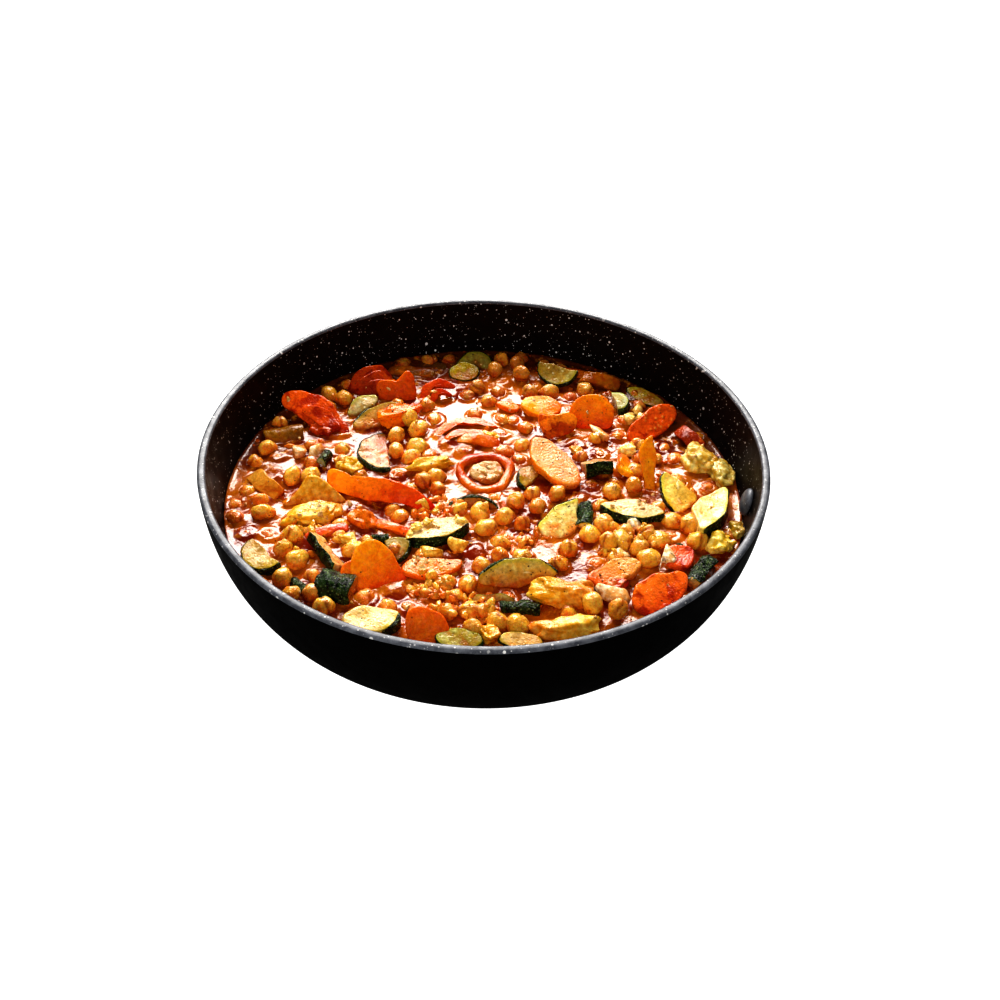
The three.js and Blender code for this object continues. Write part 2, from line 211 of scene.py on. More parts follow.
def soak_group():
    """Tomato broth that has coloured a piece: strongest near the broth, in patches above it."""
    takes = [("Colour", COLOUR), ("Amount", FLOAT, 0.6), ("Reach mm", FLOAT, 4.0)]
    tree, takes, gives = new_group("broth_soak", takes, [("Colour", COLOUR)])
    place = here(tree)
    above = axis(place, 2) * 1000.0 - BROTH_LEVEL
    low = (above + (clouds(place, 5.0, 3.0) - 0.5) * 14.0) / takes["Reach mm"]
    near = fall(low, 0.1, 1.1)
    colour = takes["Colour"]
    link(mix(near * takes["Amount"], colour, toned(colour, 238, 148, 54)), gives["Colour"])
    return tree


def film_group():
    """The wet film on cooked pieces: a roughness with oily patches, and a height for its ripples."""
    takes = [("Driest", FLOAT, 0.2), ("Wettest", FLOAT, 0.05), ("Grain mm", FLOAT, 3.0)]
    gives = [("Roughness", FLOAT), ("Height", FLOAT)]
    tree, takes, gives = new_group("wet_film", takes, gives)
    place = here(tree)
    patch = rise(clouds(place, 4.0, 3.0), 0.42, 0.6)
    link(takes["Wettest"] + patch * (takes["Driest"] - takes["Wettest"]), gives["Roughness"])
    swell = clouds(place, takes["Grain mm"], 5.0, 0.6)
    link(swell + clouds(place, 1.1, 2.0) * 0.5, gives["Height"])
    return tree


def grain_group():
    """The finest unevenness of cooked flesh, lighter and darker from point to point."""
    takes = [("Colour", COLOUR), ("Amount", FLOAT, 1.0), ("Grain mm", FLOAT, 1.7)]
    tree, takes, gives = new_group("fine_grain", takes, [("Colour", COLOUR)])
    dust = clouds(here(tree), takes["Grain mm"], 2.0, 0.6)
    share = (dust - 0.5) * takes["Amount"] + 1.0
    shaded = add("ShaderNodeVectorMath", {"operation": "SCALE"}, i0=takes["Colour"], Scale=share)
    link(shaded[0], gives["Colour"])
    return tree


def dots_group():
    """Fine ground pepper that sticks to a wet face."""
    takes = [("Colour", COLOUR), ("Share", FLOAT, 0.1)]
    tree, takes, gives = new_group("pepper_dots", takes, [("Colour", COLOUR)])
    place = here(tree)
    dots = cells(place, 1.5)
    patch = rise(clouds(place, 12.0, 1.0), 0.45, 0.6)
    kept = calc("LESS_THAN", chances(dots)[1], patch * takes["Share"])
    near = fall(dots["Distance"], 0.18, 0.26)
    link(mix(kept * near * 0.85, takes["Colour"], paint(58, 26, 12)), gives["Colour"])
    return tree


FLECKS = speckle_group()
SOAK = soak_group()
FILM = film_group()
GRAIN = grain_group()
DOTS = dots_group()


def use(group, tree=None, **inputs):
    return add("ShaderNodeGroup", {"node_tree": group}, tree, **inputs)


def cooked(colour, soak, reach, grain, pepper=None):
    """Broth soaked in, up to reach millimetres above its level, fine grain, and a share of pepper."""
    colour = use(SOAK, Colour=colour, Amount=soak, Reach_mm=reach)["Colour"]
    colour = use(GRAIN, Colour=colour, Amount=grain)["Colour"]
    return colour if pepper is None else use(DOTS, Colour=colour, Share=pepper)["Colour"]


# ---- materials ----
class Finish:
    """One material being made: its tree, its place in the object, and its surface at the end."""

    def __init__(self, name):
        self.material = bpy.data.materials.new(name)
        self.material.use_nodes = True
        self.tree = self.material.node_tree
        self.tree.nodes.clear()
        self.place = here(self.tree)

    def attribute(self, name):
        """What the mesh says about itself at each point under this name."""
        return add("ShaderNodeAttribute", {"attribute_name": name}, self.tree)

    def tint(self):
        return self.attribute("tint")["Color"]

    def cut(self):
        """Across and up the cut face, and the distance from the vegetable's core, 1 on its skin."""
        plane = add("ShaderNodeUVMap", {"uv_map": "cut"}, self.tree)[0]
        return plane, add("ShaderNodeVectorMath", {"operation": "LENGTH"}, i0=plane)["Value"]

    def patches(self, cloud, low, high, most=1.0):
        """Where this noise (its grain, detail, roughness and warp) rises, up to most."""
        return rise(clouds(self.place, *cloud), low, high, 0.0, most)

    def film(self, driest, wettest, grain):
        """The wet film's roughness and height."""
        film = use(FILM, self.tree, Driest=driest, Wettest=wettest, Grain_mm=grain)
        return film["Roughness"], film["Height"]

    def surface(self, colour, roughness, height, relief, **constants):
        """The shader: relief is the bump's depth in millimetres."""
        bump = add("ShaderNodeBump", Strength=1.0, Distance=relief * MM, Height=height)
        wet = {"Base_Color": colour, "Roughness": roughness, "Normal": bump[0]}
        shader = add("ShaderNodeBsdfPrincipled", **wet, **constants)
        link(shader[0], self.tree.nodes.new("ShaderNodeOutputMaterial").inputs[0])
        return self.material


def fleshy(*glow):
    """The shine of cooked flesh, and how far red, green and blue light goes into it."""
    inner = {"Subsurface_Weight": 0.15, "Subsurface_Radius": glow, "Subsurface_Scale": 0.002}
    return {"Specular_IOR_Level": 0.5, **inner}


def courgette_finish():
    """Pale flesh with a seeded core inside a thin dark green skin."""
    f = Finish("courgette")
    place, tint = f.place, f.tint()
    plane, reach = f.cut()
    out = reach + (clouds(place, 4.0) - 0.5) * 0.07
    flesh = mix(f.patches((2.4, 4.0, 0.65), 0.38, 0.66), toned(tint, 234, 218, 190), tint)
    core = fall(out, 0.42, 0.6)
    seeds = add("ShaderNodeTexVoronoi", Vector=plane, Scale=5.5)["Distance"]
    seeded = core * fall(seeds, 0.16, 0.34)
    flesh = mix(core * 0.5, flesh, toned(flesh, 232, 206, 150))
    flesh = mix(seeded * 0.5, flesh, paint(250, 236, 178))
    oily = f.patches((7.0, 3.0, 0.6, 0.5), 0.48, 0.64, 0.6)
    flesh = mix(oily, flesh, toned(tint, 240, 196, 110))
    flesh = mix(rise(out, 0.74, 0.9, 0.0, 0.8), flesh, toned(tint, 218, 214, 110))
    flesh = cooked(flesh, 0.75, 4.0, 1.3, pepper=0.1)
    skin = mix(f.patches((3.0, 4.0, 0.7), 0.4, 0.62), paint(9, 16, 8), paint(52, 74, 34))
    flecks = fall(cells(place, 1.7)["Distance"], 0.14, 0.34)
    skin = mix(flecks * 0.6, skin, paint(132, 150, 96))
    on_skin = rise(out, 0.925, 0.95)
    rough, ripples = f.film(0.34, 0.06, 5.0)
    soft, crinkle = ripples * 0.5 + seeded * 0.12, creases(place, 2.6, 3.0, 0.6, 0.8) * 2.6
    height = mix_value(on_skin, soft, crinkle)
    colour, rough = mix(on_skin, flesh, skin), mix_value(on_skin, rough, 0.2)
    return f.surface(colour, rough, height, 1.0, Specular_IOR_Level=0.42)


def carrot_finish():
    """Bright flesh, a paler core with a ring round it, and fine rays."""
    f = Finish("carrot")
    place, tint = f.place, f.tint()
    plane, reach = f.cut()
    out = reach + (clouds(place, 5.0) - 0.5) * 0.16
    flesh = mix(f.patches((3.2, 4.0, 0.6), 0.4, 0.64), toned(tint, 246, 218, 170), tint)
    flesh = mix(fall(out, 0.4, 0.48) * 0.1, flesh, paint(250, 156, 30))
    outward = add("ShaderNodeVectorMath", {"operation": "NORMALIZE"}, i0=plane)[0]
    rays = add("ShaderNodeTexNoise", Vector=outward, Scale=9.0, Detail=2.0, Roughness=0.6)["Fac"]
    flesh = mix(rise(rays, 0.5, 0.7, 0.0, 0.5), flesh, toned(tint, 236, 170, 110))
    edge = rise(out, 0.4, 0.46) * fall(out, 0.48, 0.56)
    flesh = mix(edge * 0.07, flesh, paint(255, 180, 60))
    flesh = mix(rise(out, 0.9, 1.0, 0.0, 0.3), flesh, paint(232, 84, 14))
    flesh = cooked(flesh, 0.45, 3.0, 0.6, pepper=f.attribute("pepper")["Fac"])
    return f.surface(flesh, *f.film(0.34, 0.06, 6.0), 0.7, **fleshy(1.0, 0.35, 0.1))


def fruit_finish(name, deep, pale, relief, grain):
    """Smooth, wet fruit wall: its own tint, deeper in some patches and paler in others."""
    f = Finish(name)
    place, tint = f.place, f.tint()
    patch = clouds(place, grain, 3.0, 0.55, 0.4)
    flesh = mix(fall(patch, 0.38, 0.5), tint, toned(tint, *deep))
    flesh = mix(rise(patch, 0.56, 0.74, 0.0, 0.5), flesh, paint(*pale))
    seeded = f.attribute("seeds")["Fac"] * fall(f.cut()[1], 0.62, 0.8)
    pips = cells(place, 3.2)["Distance"]
    jelly = mix(rise(pips, 0.12, 0.4), paint(240, 152, 66), paint(222, 92, 20))
    flesh = mix(seeded * 0.7, flesh, jelly)
    flesh = cooked(flesh, 0.4, 3.0, 0.8, pepper=f.attribute("pepper")["Fac"])
    rough, ripples = f.film(0.22, 0.05, grain * 0.6)
    return f.surface(flesh, rough, ripples - seeded * pips, relief, **fleshy(1.0, 0.25, 0.08))


def squash_finish():
    """Soft yellow flesh that crumbles into grains."""
    f = Finish("squash")
    place, tint, crumble = f.place, f.tint(), f.attribute("crumble")["Fac"]
    lump = cells(place, 2.6, "SMOOTH_F1")["Distance"]
    pale = mix(crumble * 1.2, tint, paint(255, 234, 150))
    flesh = mix(rise(lump, 0.2, 0.62), pale, toned(tint, 240, 212, 130))
    flesh = mix(f.patches((5.0, 3.0), 0.5, 0.7, 0.6), flesh, toned(tint, 240, 208, 140))
    flesh = cooked(flesh, 0.3, 3.0, 0.9, pepper=0.08)
    rough, ripples = f.film(0.36, 0.08, 4.0)
    return f.surface(flesh, rough, ripples * 0.6 - lump * crumble, 1.0, **fleshy(1.0, 0.6, 0.2))


def chickpea_finish():
    """Golden, wet and wrinkled, each pea its own tone, browner in painted shade along its seam crease and
    in painted shadow at the back under the pan wall.
    """
    f = Finish("chickpea")
    place, shade = f.place, f.attribute("shade")["Fac"]
    colour = mix(rise(shade, 0.0, 0.5), paint(216, 144, 40), paint(228, 164, 50))
    colour = mix(rise(shade, 0.5, 1.0), colour, paint(238, 184, 66))
    pale = mix(0.4, colour, paint(244, 192, 96))
    colour = mix(f.patches((4.0, 4.0, 0.6), 0.42, 0.66), colour, pale)
    colour = mix(f.patches((2.2, 3.0, 0.6, 0.5), 0.5, 0.66, 0.45), colour, paint(186, 88, 18))
    # Painted shade: the seam crease is coloured darker brown.
    colour = mix(f.attribute("seam")["Fac"], colour, paint(160, 70, 10))
    # Painted shadow: peas at the back, under the pan wall, are darkened for the wall's shadow.
    back = rise(axis(place, 1), 0.05, 0.11, 0.0, 0.6)
    colour = mix(back, colour, toned(colour, 180, 140, 90))
    colour = cooked(colour, 0.85, 5.5, 0.6, pepper=0.08)
    rough, ripples = f.film(0.4, 0.1, 2.6)
    height = ripples * 0.6 + creases(place, 3.4, 3.0, 0.55, 0.7) * 1.2
    coat = {"Specular_IOR_Level": 0.8, "Coat_Weight": 0.6, "Coat_Roughness": 0.1}
    glow = {"Subsurface_Radius": (1.0, 0.42, 0.14), "Subsurface_Scale": 0.004}
    return f.surface(colour, rough, height, 1.0, Subsurface_Weight=0.35, **coat, **glow)


def pale_finish():
    """Garlic and onion: whitish and wet."""
    f = Finish("garlic_and_onion")
    tint = f.tint()
    colour = mix(f.patches((2.6, 3.0), 0.42, 0.64), toned(tint, 220, 186, 136), tint)
    colour = cooked(colour, 0.45, 3.0, 1.3)
    return f.surface(colour, *f.film(0.2, 0.05, 2.0), 0.4, Specular_IOR_Level=0.5)


def speck_finish():
    """Dark flakes of ground pepper."""
    f = Finish("ground_pepper")
    colour = mix(f.patches((0.5,), 0.4, 0.6), paint(34, 16, 8), paint(92, 48, 22))
    rough = rise(clouds(f.place, 0.6), 0.3, 0.7, 0.4, 0.8)
    return f.surface(colour, rough, clouds(f.place, 0.3), 0.1)


def broth_finish():
    """Tomato broth with oil on it: red in the deep places, orange where it is stirred up, and darker in
    painted shadow at the back by the pan wall.
    """
    f = Finish("broth")
    place = f.place
    stirred = f.patches((22.0, 5.0, 0.6, 0.6), 0.4, 0.62)
    colour = mix(stirred, paint(118, 32, 4), paint(182, 98, 16))
    flat = add("ShaderNodeVectorMath", {"operation": "MULTIPLY"}, i0=place, i1=(1, 1, 0))[0]
    out = add("ShaderNodeVectorMath", {"operation": "LENGTH"}, i0=flat)["Value"]
    # Painted shadow: the broth in a band by the wall at the back is darkened to stand for the wall's
    # shadow.
    painted_wall_shadow = rise(out, 0.094, 0.118) * rise(axis(place, 1), -0.01, 0.04)
    colour = mix(painted_wall_shadow * 0.85, colour, paint(84, 36, 6))
    colour = mix(f.patches((6.0, 4.0, 0.65), 0.54, 0.7, 0.7), colour, paint(216, 138, 34))
    oil = cells(place, 3.4)
    chance = chances(oil)
    bead = rise(chance[0] * 0.42 - oil["Distance"], 0.0, 0.05)
    kept = bead * calc("LESS_THAN", chance[1], 0.45)
    colour = mix(kept * 0.5, colour, paint(204, 88, 6))
    pulp = f.patches((9.0, 3.0), 0.46, 0.6)
    grit = clouds(place, 1.3, 2.0) * pulp * 0.8
    height = clouds(place, 5.0, 5.0, 0.6) + grit + kept * 0.12
    height = height * rise(f.attribute("calm")["Fac"], 0.0, 0.8, 1.0, 0.05)
    rough = rise(clouds(place, 5.0, 3.0), 0.4, 0.66, 0.04, 0.22)
    return f.surface(colour, rough, height, 0.29, Specular_IOR_Level=0.56)


def coating_finish(name, base, worn, rough, specular, *flecks):
    """Satin non-stick coating; each size of flecks is its grain, its largest and its share."""
    f = Finish(name)
    colour = mix(f.patches((6.0, 5.0, 0.75), 0.35, 0.65), paint(*base), paint(*worn))
    mask = None
    for grain, largest, share in flecks:
        dots = use(FLECKS, f.tree, Grain_mm=grain, Largest=largest, Share=share)["Mask"]
        mask = calc("MAXIMUM", mask, dots) if mask else dots
    if mask:
        colour = mix(mask, colour, paint(222, 220, 216))
    roughness = rise(clouds(f.place, 8.0, 4.0), 0.3, 0.7, rough - 0.05, rough + 0.07)
    height = clouds(f.place, 0.8, 3.0)
    return f.surface(colour, roughness, height, 0.05, Specular_IOR_Level=specular)


def floor_finish():
    """A white studio sweep: it looks white, and throws back little light."""
    f = Finish("floor")
    colour = mix(clouds(f.place, 400.0), paint(120, 120, 120), paint(126, 126, 126))
    rough = rise(clouds(f.place, 200.0), 0.0, 1.0, 0.85, 0.95)
    seen = add("ShaderNodeLightPath", tree=f.tree)["Is Camera Ray"] * 0.93
    lit = {"Emission_Color": (1, 1, 1, 1), "Emission_Strength": seen}
    return f.surface(colour, rough, clouds(f.place, 3.0), 0.02, Specular_IOR_Level=0.0, **lit)


INSIDE = coating_finish(
    "coating_inside", (11, 6, 6), (19, 11, 9), 0.4, 0.12,
    (6.0, 0.16, 0.75), (3.2, 0.21, 0.85), (1.8, 0.27, 0.6), (1.1, 0.3, 0.3),
)
OUTSIDE = coating_finish("coating_outside", (3, 2, 2), (6, 4, 4), 0.5, 0.05)
LIP = coating_finish(
    "coating_lip", (66, 68, 74), (104, 106, 112), 0.4, 0.5,
    (3.2, 0.3, 0.7), (1.8, 0.26, 0.5), (1.0, 0.3, 0.3),
)
RIVET = coating_finish("rivet_head", (70, 72, 78), (104, 106, 112), 0.35, 0.5, (2.4, 0.14, 0.3))
BROTH = broth_finish()
CHICKPEA = chickpea_finish()
PALE = pale_finish()
SPECK = speck_finish()
FLESH = {
    "courgette": courgette_finish(),
    "carrot": carrot_finish(),
    "pepper": fruit_finish("pepper", (236, 196, 150), (246, 130, 24), 0.5, 9.0),
    "tomato": fruit_finish("tomato", (200, 146, 116), (232, 120, 28), 0.7, 7.5),
    "squash": squash_finish(),
}


# ---- meshes, made in millimetres ----
def uneven(points, grain, seed, layers):
    """A smooth height from about -0.5 to 0.5 at each point, its lumps about grain across."""
    shift = Vector((seed * 7.31 + 3.7, seed * 3.17 - 1.9, seed * 5.73 + 0.6))
    size = 1.0 / grain
    return np.array([noise.fractal(Vector(p) * size + shift, 1.0, 2.0, layers) for p in points])


def new_object(name, data):
    item = bpy.data.objects.new(name, data)
    bpy.context.scene.collection.objects.link(item)
    return item


def mesh_object(name, points, faces, materials, cut=None, face_material=None):
    """A smooth object; cut says where on the cut vegetable each of its points was."""
    mesh = bpy.data.meshes.new(name)
    mesh.from_pydata((np.asarray(points) * MM).tolist(), [], faces)
    for material in materials:
        mesh.materials.append(material)
    if face_material is not None:
        mesh.polygons.foreach_set("material_index", face_material)
    if cut is not None:
        corner = np.empty(len(mesh.loops), dtype=np.int32)
        mesh.loops.foreach_get("vertex_index", corner)
        layer = mesh.uv_layers.new(name="cut")
        layer.data.foreach_set("uv", np.asarray(cut, dtype=np.float32)[corner].ravel())
    mesh.polygons.foreach_set("use_smooth", [True] * len(mesh.polygons))
    mesh.update()
    return new_object(name, mesh)


def set_attribute(item, name, values):
    """One number or one colour for each point, or one number for all of them."""
    values = np.asarray(values, dtype=np.float32)
    if values.ndim == 0:
        values = np.full(len(item.data.vertices), values)
    kind, field = ("FLOAT", "value") if values.ndim == 1 else ("FLOAT_COLOR", "color")
    item.data.attributes.new(name, kind, "POINT").data.foreach_set(field, values.ravel())


def tube(rows, start, end):
    """A closed tube through rows of points, with a middle point at its start and at its end."""
    count, middle = len(rows[0]), len(rows) * len(rows[0])
    last = middle - count
    around = [(i, (i + 1) % count) for i in range(count)]
    faces = []
    for low in range(0, last, count):
        faces += [(low + i, low + j, low + count + j, low + count + i) for i, j in around]
    faces += [(middle, j, i) for i, j in around]
    faces += [(middle + 1, last + i, last + j) for i, j in around]
    return np.vstack([*rows, [start], [end]]), faces


def resample(corners, count, smooth=2):
    """An even run of points round a closed outline, with its corners rounded off."""
    line = np.array(corners, dtype=float)
    for _ in range(smooth):
        after = np.roll(line, -1, axis=0)
        line = np.stack([0.75 * line + 0.25 * after, 0.25 * line + 0.75 * after], axis=1).reshape(-1, 2)
    closed = np.vstack([line, line[:1]])
    steps = np.linalg.norm(np.diff(closed, axis=0), axis=1)
    along = np.concatenate([[0], np.cumsum(steps)])
    wanted = np.linspace(0, along[-1], count, endpoint=False)
    return np.stack([np.interp(wanted, along, closed[:, k]) for k in (0, 1)], axis=1)


FACE_RINGS = (0.12, 0.25, 0.38, 0.51, 0.63, 0.74, 0.84, 0.92)  # shares of the way to the edge


def puck(outline, thick, edge):
    """A flat piece with rounded edges, its upper and lower face in rings."""
    x, y = outline.T
    if np.sum(x * np.roll(y, -1) - np.roll(x, -1) * y) < 0:
        outline = outline[::-1]
    middle = outline.mean(axis=0)
    inset = edge / np.linalg.norm(outline - middle, axis=1).mean()
    profile = [(share * (1 - inset), 0.5) for share in FACE_RINGS]
    for turn in (0, 30, 60, 90):
        angle = math.radians(turn)
        profile.append((1 - inset * (1 - math.sin(angle)), 0.5 - edge / thick * (1 - math.cos(angle))))
    profile += [(share, -height) for share, height in reversed(profile)]
    spread = outline - middle
    rows = [
        np.column_stack([middle + spread * share, np.full(len(outline), height * thick)])
        for share, height in profile
    ]
    points, faces = tube(rows, [*middle, thick / 2], [*middle, -thick / 2])
    return points, [face[::-1] for face in faces]


CUT_EDGE = 0.9  # how far the edge of a slice or a strip is rounded
CORE_REACH = 13  # from a round vegetable's skin to its core


def make_slice(thick, length=1, width=1, sweep=360, outline=None, hub=None):
    """A slice across a vegetable: an oval, the half of one, or an outline.

    The hub is (x, y) of the vegetable's core and the distance from there to its skin.
    """
    rx, ry = length / 2, width / 2
    core = 0 if sweep == 360 else -ry / 2
    if outline is not None:
        line = resample(outline, 60)
    elif sweep == 360:
        angles = np.linspace(0, 2 * math.pi, 60, endpoint=False)
        line = np.column_stack([rx * np.cos(angles), ry * np.sin(angles)])
    else:
        angles = np.linspace(0, math.pi, 40)
        arc = np.column_stack([rx * np.cos(angles), ry * np.sin(angles) - ry / 2])
        chord = np.column_stack([np.linspace(-rx, rx, 22)[1:-1], np.full(20, -ry / 2)])
        line = np.vstack([arc, chord])
    points, faces = puck(line, thick, min(CUT_EDGE, thick * 0.35))
    if hub is None:
        return points, faces, np.column_stack([points[:, 0] / rx, (points[:, 1] - core) / ry])
    away = points[:, :2] - hub[:2]
    span = np.linalg.norm(away, axis=1, keepdims=True)
    return points, faces, away / np.maximum(span, 0.1) * np.maximum(0.05, 1 - (hub[2] - span) / CORE_REACH)


def make_strip(thick, length, width, bend=2, outline=None):
    """A bent strip of fruit wall, skin up."""
    if outline is None:
        right = [(0.85, 1), (1, 0.7), (1, -0.7), (0.85, -1)]
        corners = [(-1, -0.8), (-1, 0.8), (-0.85, 1), (0, 1.02), *right, (0, -1), (-0.85, -1)]
        outline = [(x * length / 2, y * width / 2) for x, y in corners]
    points, faces = puck(resample(outline, 72, 1), thick, min(CUT_EDGE, thick * 0.3))
    radius = length * length / (8 * bend) + bend / 2
    turn = points[:, 0] / radius
    out = radius + points[:, 2]
    cup = 0.35 * np.cos(points[:, 1] / width * math.pi)
    arched = out * np.cos(turn) - radius + bend / 2 + cup - 0.2
    bent = np.column_stack([out * np.sin(turn), points[:, 1], arched])
    return bent, faces, np.column_stack([points[:, 0] / length, points[:, 2] / thick])


def make_baton(thick, length, width):
    """A half-round bar: skin over its back, flat cut below, square cut ends."""
    angles, edge, core = np.linspace(0, math.pi, 24), 0.8, 0.42
    arc = np.column_stack([width / 2 * np.cos(angles), thick * np.sin(angles)])
    chord = np.column_stack([np.linspace(-width / 2, width / 2, 12)[1:-1], np.zeros(10)])
    section = np.vstack([arc, chord])
    middle = np.array([0, thick * core])
    inset = edge / (width / 2)
    ends = [(-length / 2, share * (1 - inset)) for share in (0.2, 0.5, 0.8)]
    for turn in (0, 35, 65, 90):
        angle = math.radians(turn)
        ends.append((-length / 2 + edge * (1 - math.cos(angle)), 1 - inset * (1 - math.sin(angle))))
    between = [(x, 1.0) for x in np.linspace(-length / 2 + edge, length / 2 - edge, 16)[1:-1]]
    rows, cuts = [], []
    for x, share in ends + between + [(-x, share) for x, share in reversed(ends)]:
        y, z = (middle + (section - middle) * share).T
        rows.append(np.column_stack([np.full(len(section), x), y, z - thick / 2]))
        cuts.append(np.column_stack([y / (width / 2), z / thick]))
    points, faces = tube(rows, rows[0].mean(axis=0), rows[-1].mean(axis=0))
    return points, faces, np.vstack([*cuts, [[0, core]], [[0, core]]])


def make_ring(thick, length, width, wall):
    """A slice across a hollow fruit: a closed band with three lobes."""
    rx, ry = length / 2, width / 2
    count, section = 72, 16
    rows = []
    for angle in [2 * math.pi * i / count for i in range(count)]:
        swell = 1 + 0.06 * math.sin(3 * angle + 0.6) + 0.03 * math.sin(5 * angle)
        for turn in [2 * math.pi * k / section for k in range(section)]:
            across, up = (math.copysign(abs(v) ** 0.6, v) for v in (math.cos(turn), math.sin(turn)))
            across *= wall / 2
            x = (rx - wall / 2) * swell * math.cos(angle) + across * math.cos(angle)
            y = (ry - wall / 2) * swell * math.sin(angle) + across * math.sin(angle)
            rows.append((x, y, up * thick / 2))
    points = np.array(rows)
    faces = []
    for a in range(0, len(rows), section):
        b = (a + section) % len(rows)
        faces += [(a + k, b + k, b + (k + 1) % section, a + (k + 1) % section) for k in range(section)]
    return points, faces, points[:, :2] / [rx, ry]


def cube_ball(steps):
    """A ball of even quads: directions and faces."""
    index, directions, faces = {}, [], []
    lines = [math.tan((2 * i / steps - 1) * math.pi / 4) for i in range(steps + 1)]

    def corner(p):
        key = tuple(round(v, 5) for v in p)
        if key not in index:
            index[key] = len(directions)
            directions.append(np.array(p) / np.linalg.norm(p))
        return index[key]

    for side in range(3):
        for sign in (-1, 1):
            grid = [[corner(np.roll([sign, a, b], side)) for b in lines] for a in lines]
            for i in range(steps):
                for j in range(steps):
                    face = (grid[i][j], grid[i + 1][j], grid[i + 1][j + 1], grid[i][j + 1])
                    faces.append(face if sign > 0 else face[::-1])
    return np.array(directions), faces


def make_chunk(thick, length, width, seed, crumple=0.8):
    """A rough lump with soft corners."""
    directions, faces = cube_ball(18)
    squared = np.sign(directions) * np.abs(directions) ** 0.74
    points = squared * (0.86 + 0.3 * uneven(directions, 0.8, seed, 2))[:, None]
    low, high = points.min(axis=0), points.max(axis=0)
    points = (points - (high + low) / 2) * np.array([length, width, thick]) / (high - low)
    points = points + directions * (uneven(points, 3.6, seed + 5, 3) * crumple)[:, None]
    return points, faces, np.column_stack([points[:, 0] / length, points[:, 1] / width])


def make_flap(thick, length, width):
    """A sheet of fruit wall with its skin up, arched both ways; thick is how high it arches."""
    turns = np.linspace(0, 2 * math.pi, 14, endpoint=False)
    round_ways = [np.sign(way) * np.abs(way) ** 0.7 for way in (np.cos(turns), np.sin(turns))]
    outline = np.column_stack([round_ways[0] * length / 2, round_ways[1] * width / 2])
    points, faces = puck(resample(outline, 64, 1), thick=3.2, edge=1.2)
    across, along = points[:, 1] / (width / 2), points[:, 0] / (length / 2)
    points[:, 2] += thick * (0.3 - 0.36 * across ** 2 - 0.12 * along ** 2)
    return points, faces, np.column_stack([points[:, 0] / length, points[:, 1] / width])


def make_chip(thick, length, width, seed):
    """A chopped piece with flat knife cuts: the hull of eleven points on a box."""
    dice = random.Random(seed)
    hull = bmesh.new()
    for _ in range(11):
        p = [dice.uniform(-1, 1) for _ in range(3)]
        biggest = max(abs(v) for v in p)
        hull.verts.new([v / biggest * dice.uniform(0.75, 1) for v in p])
    result = bmesh.ops.convex_hull(hull, input=hull.verts)
    unused = {*result["geom_interior"], *result["geom_unused"]}
    inside = [part for part in unused if isinstance(part, bmesh.types.BMVert)]
    bmesh.ops.delete(hull, geom=inside, context="VERTS")
    bmesh.ops.recalc_face_normals(hull, faces=hull.faces)
    bmesh.ops.bevel(hull, geom=hull.edges[:], offset=0.09, segments=1, affect="EDGES")
    bmesh.ops.triangulate(hull, faces=hull.faces[:])
    hull.verts.index_update()
    points = np.array([v.co[:] for v in hull.verts]) * [length / 2, width / 2, thick / 2]
    faces = [tuple(v.index for v in f.verts) for f in hull.faces]
    hull.free()
    return points, faces, points[:, :2] / [length, width]
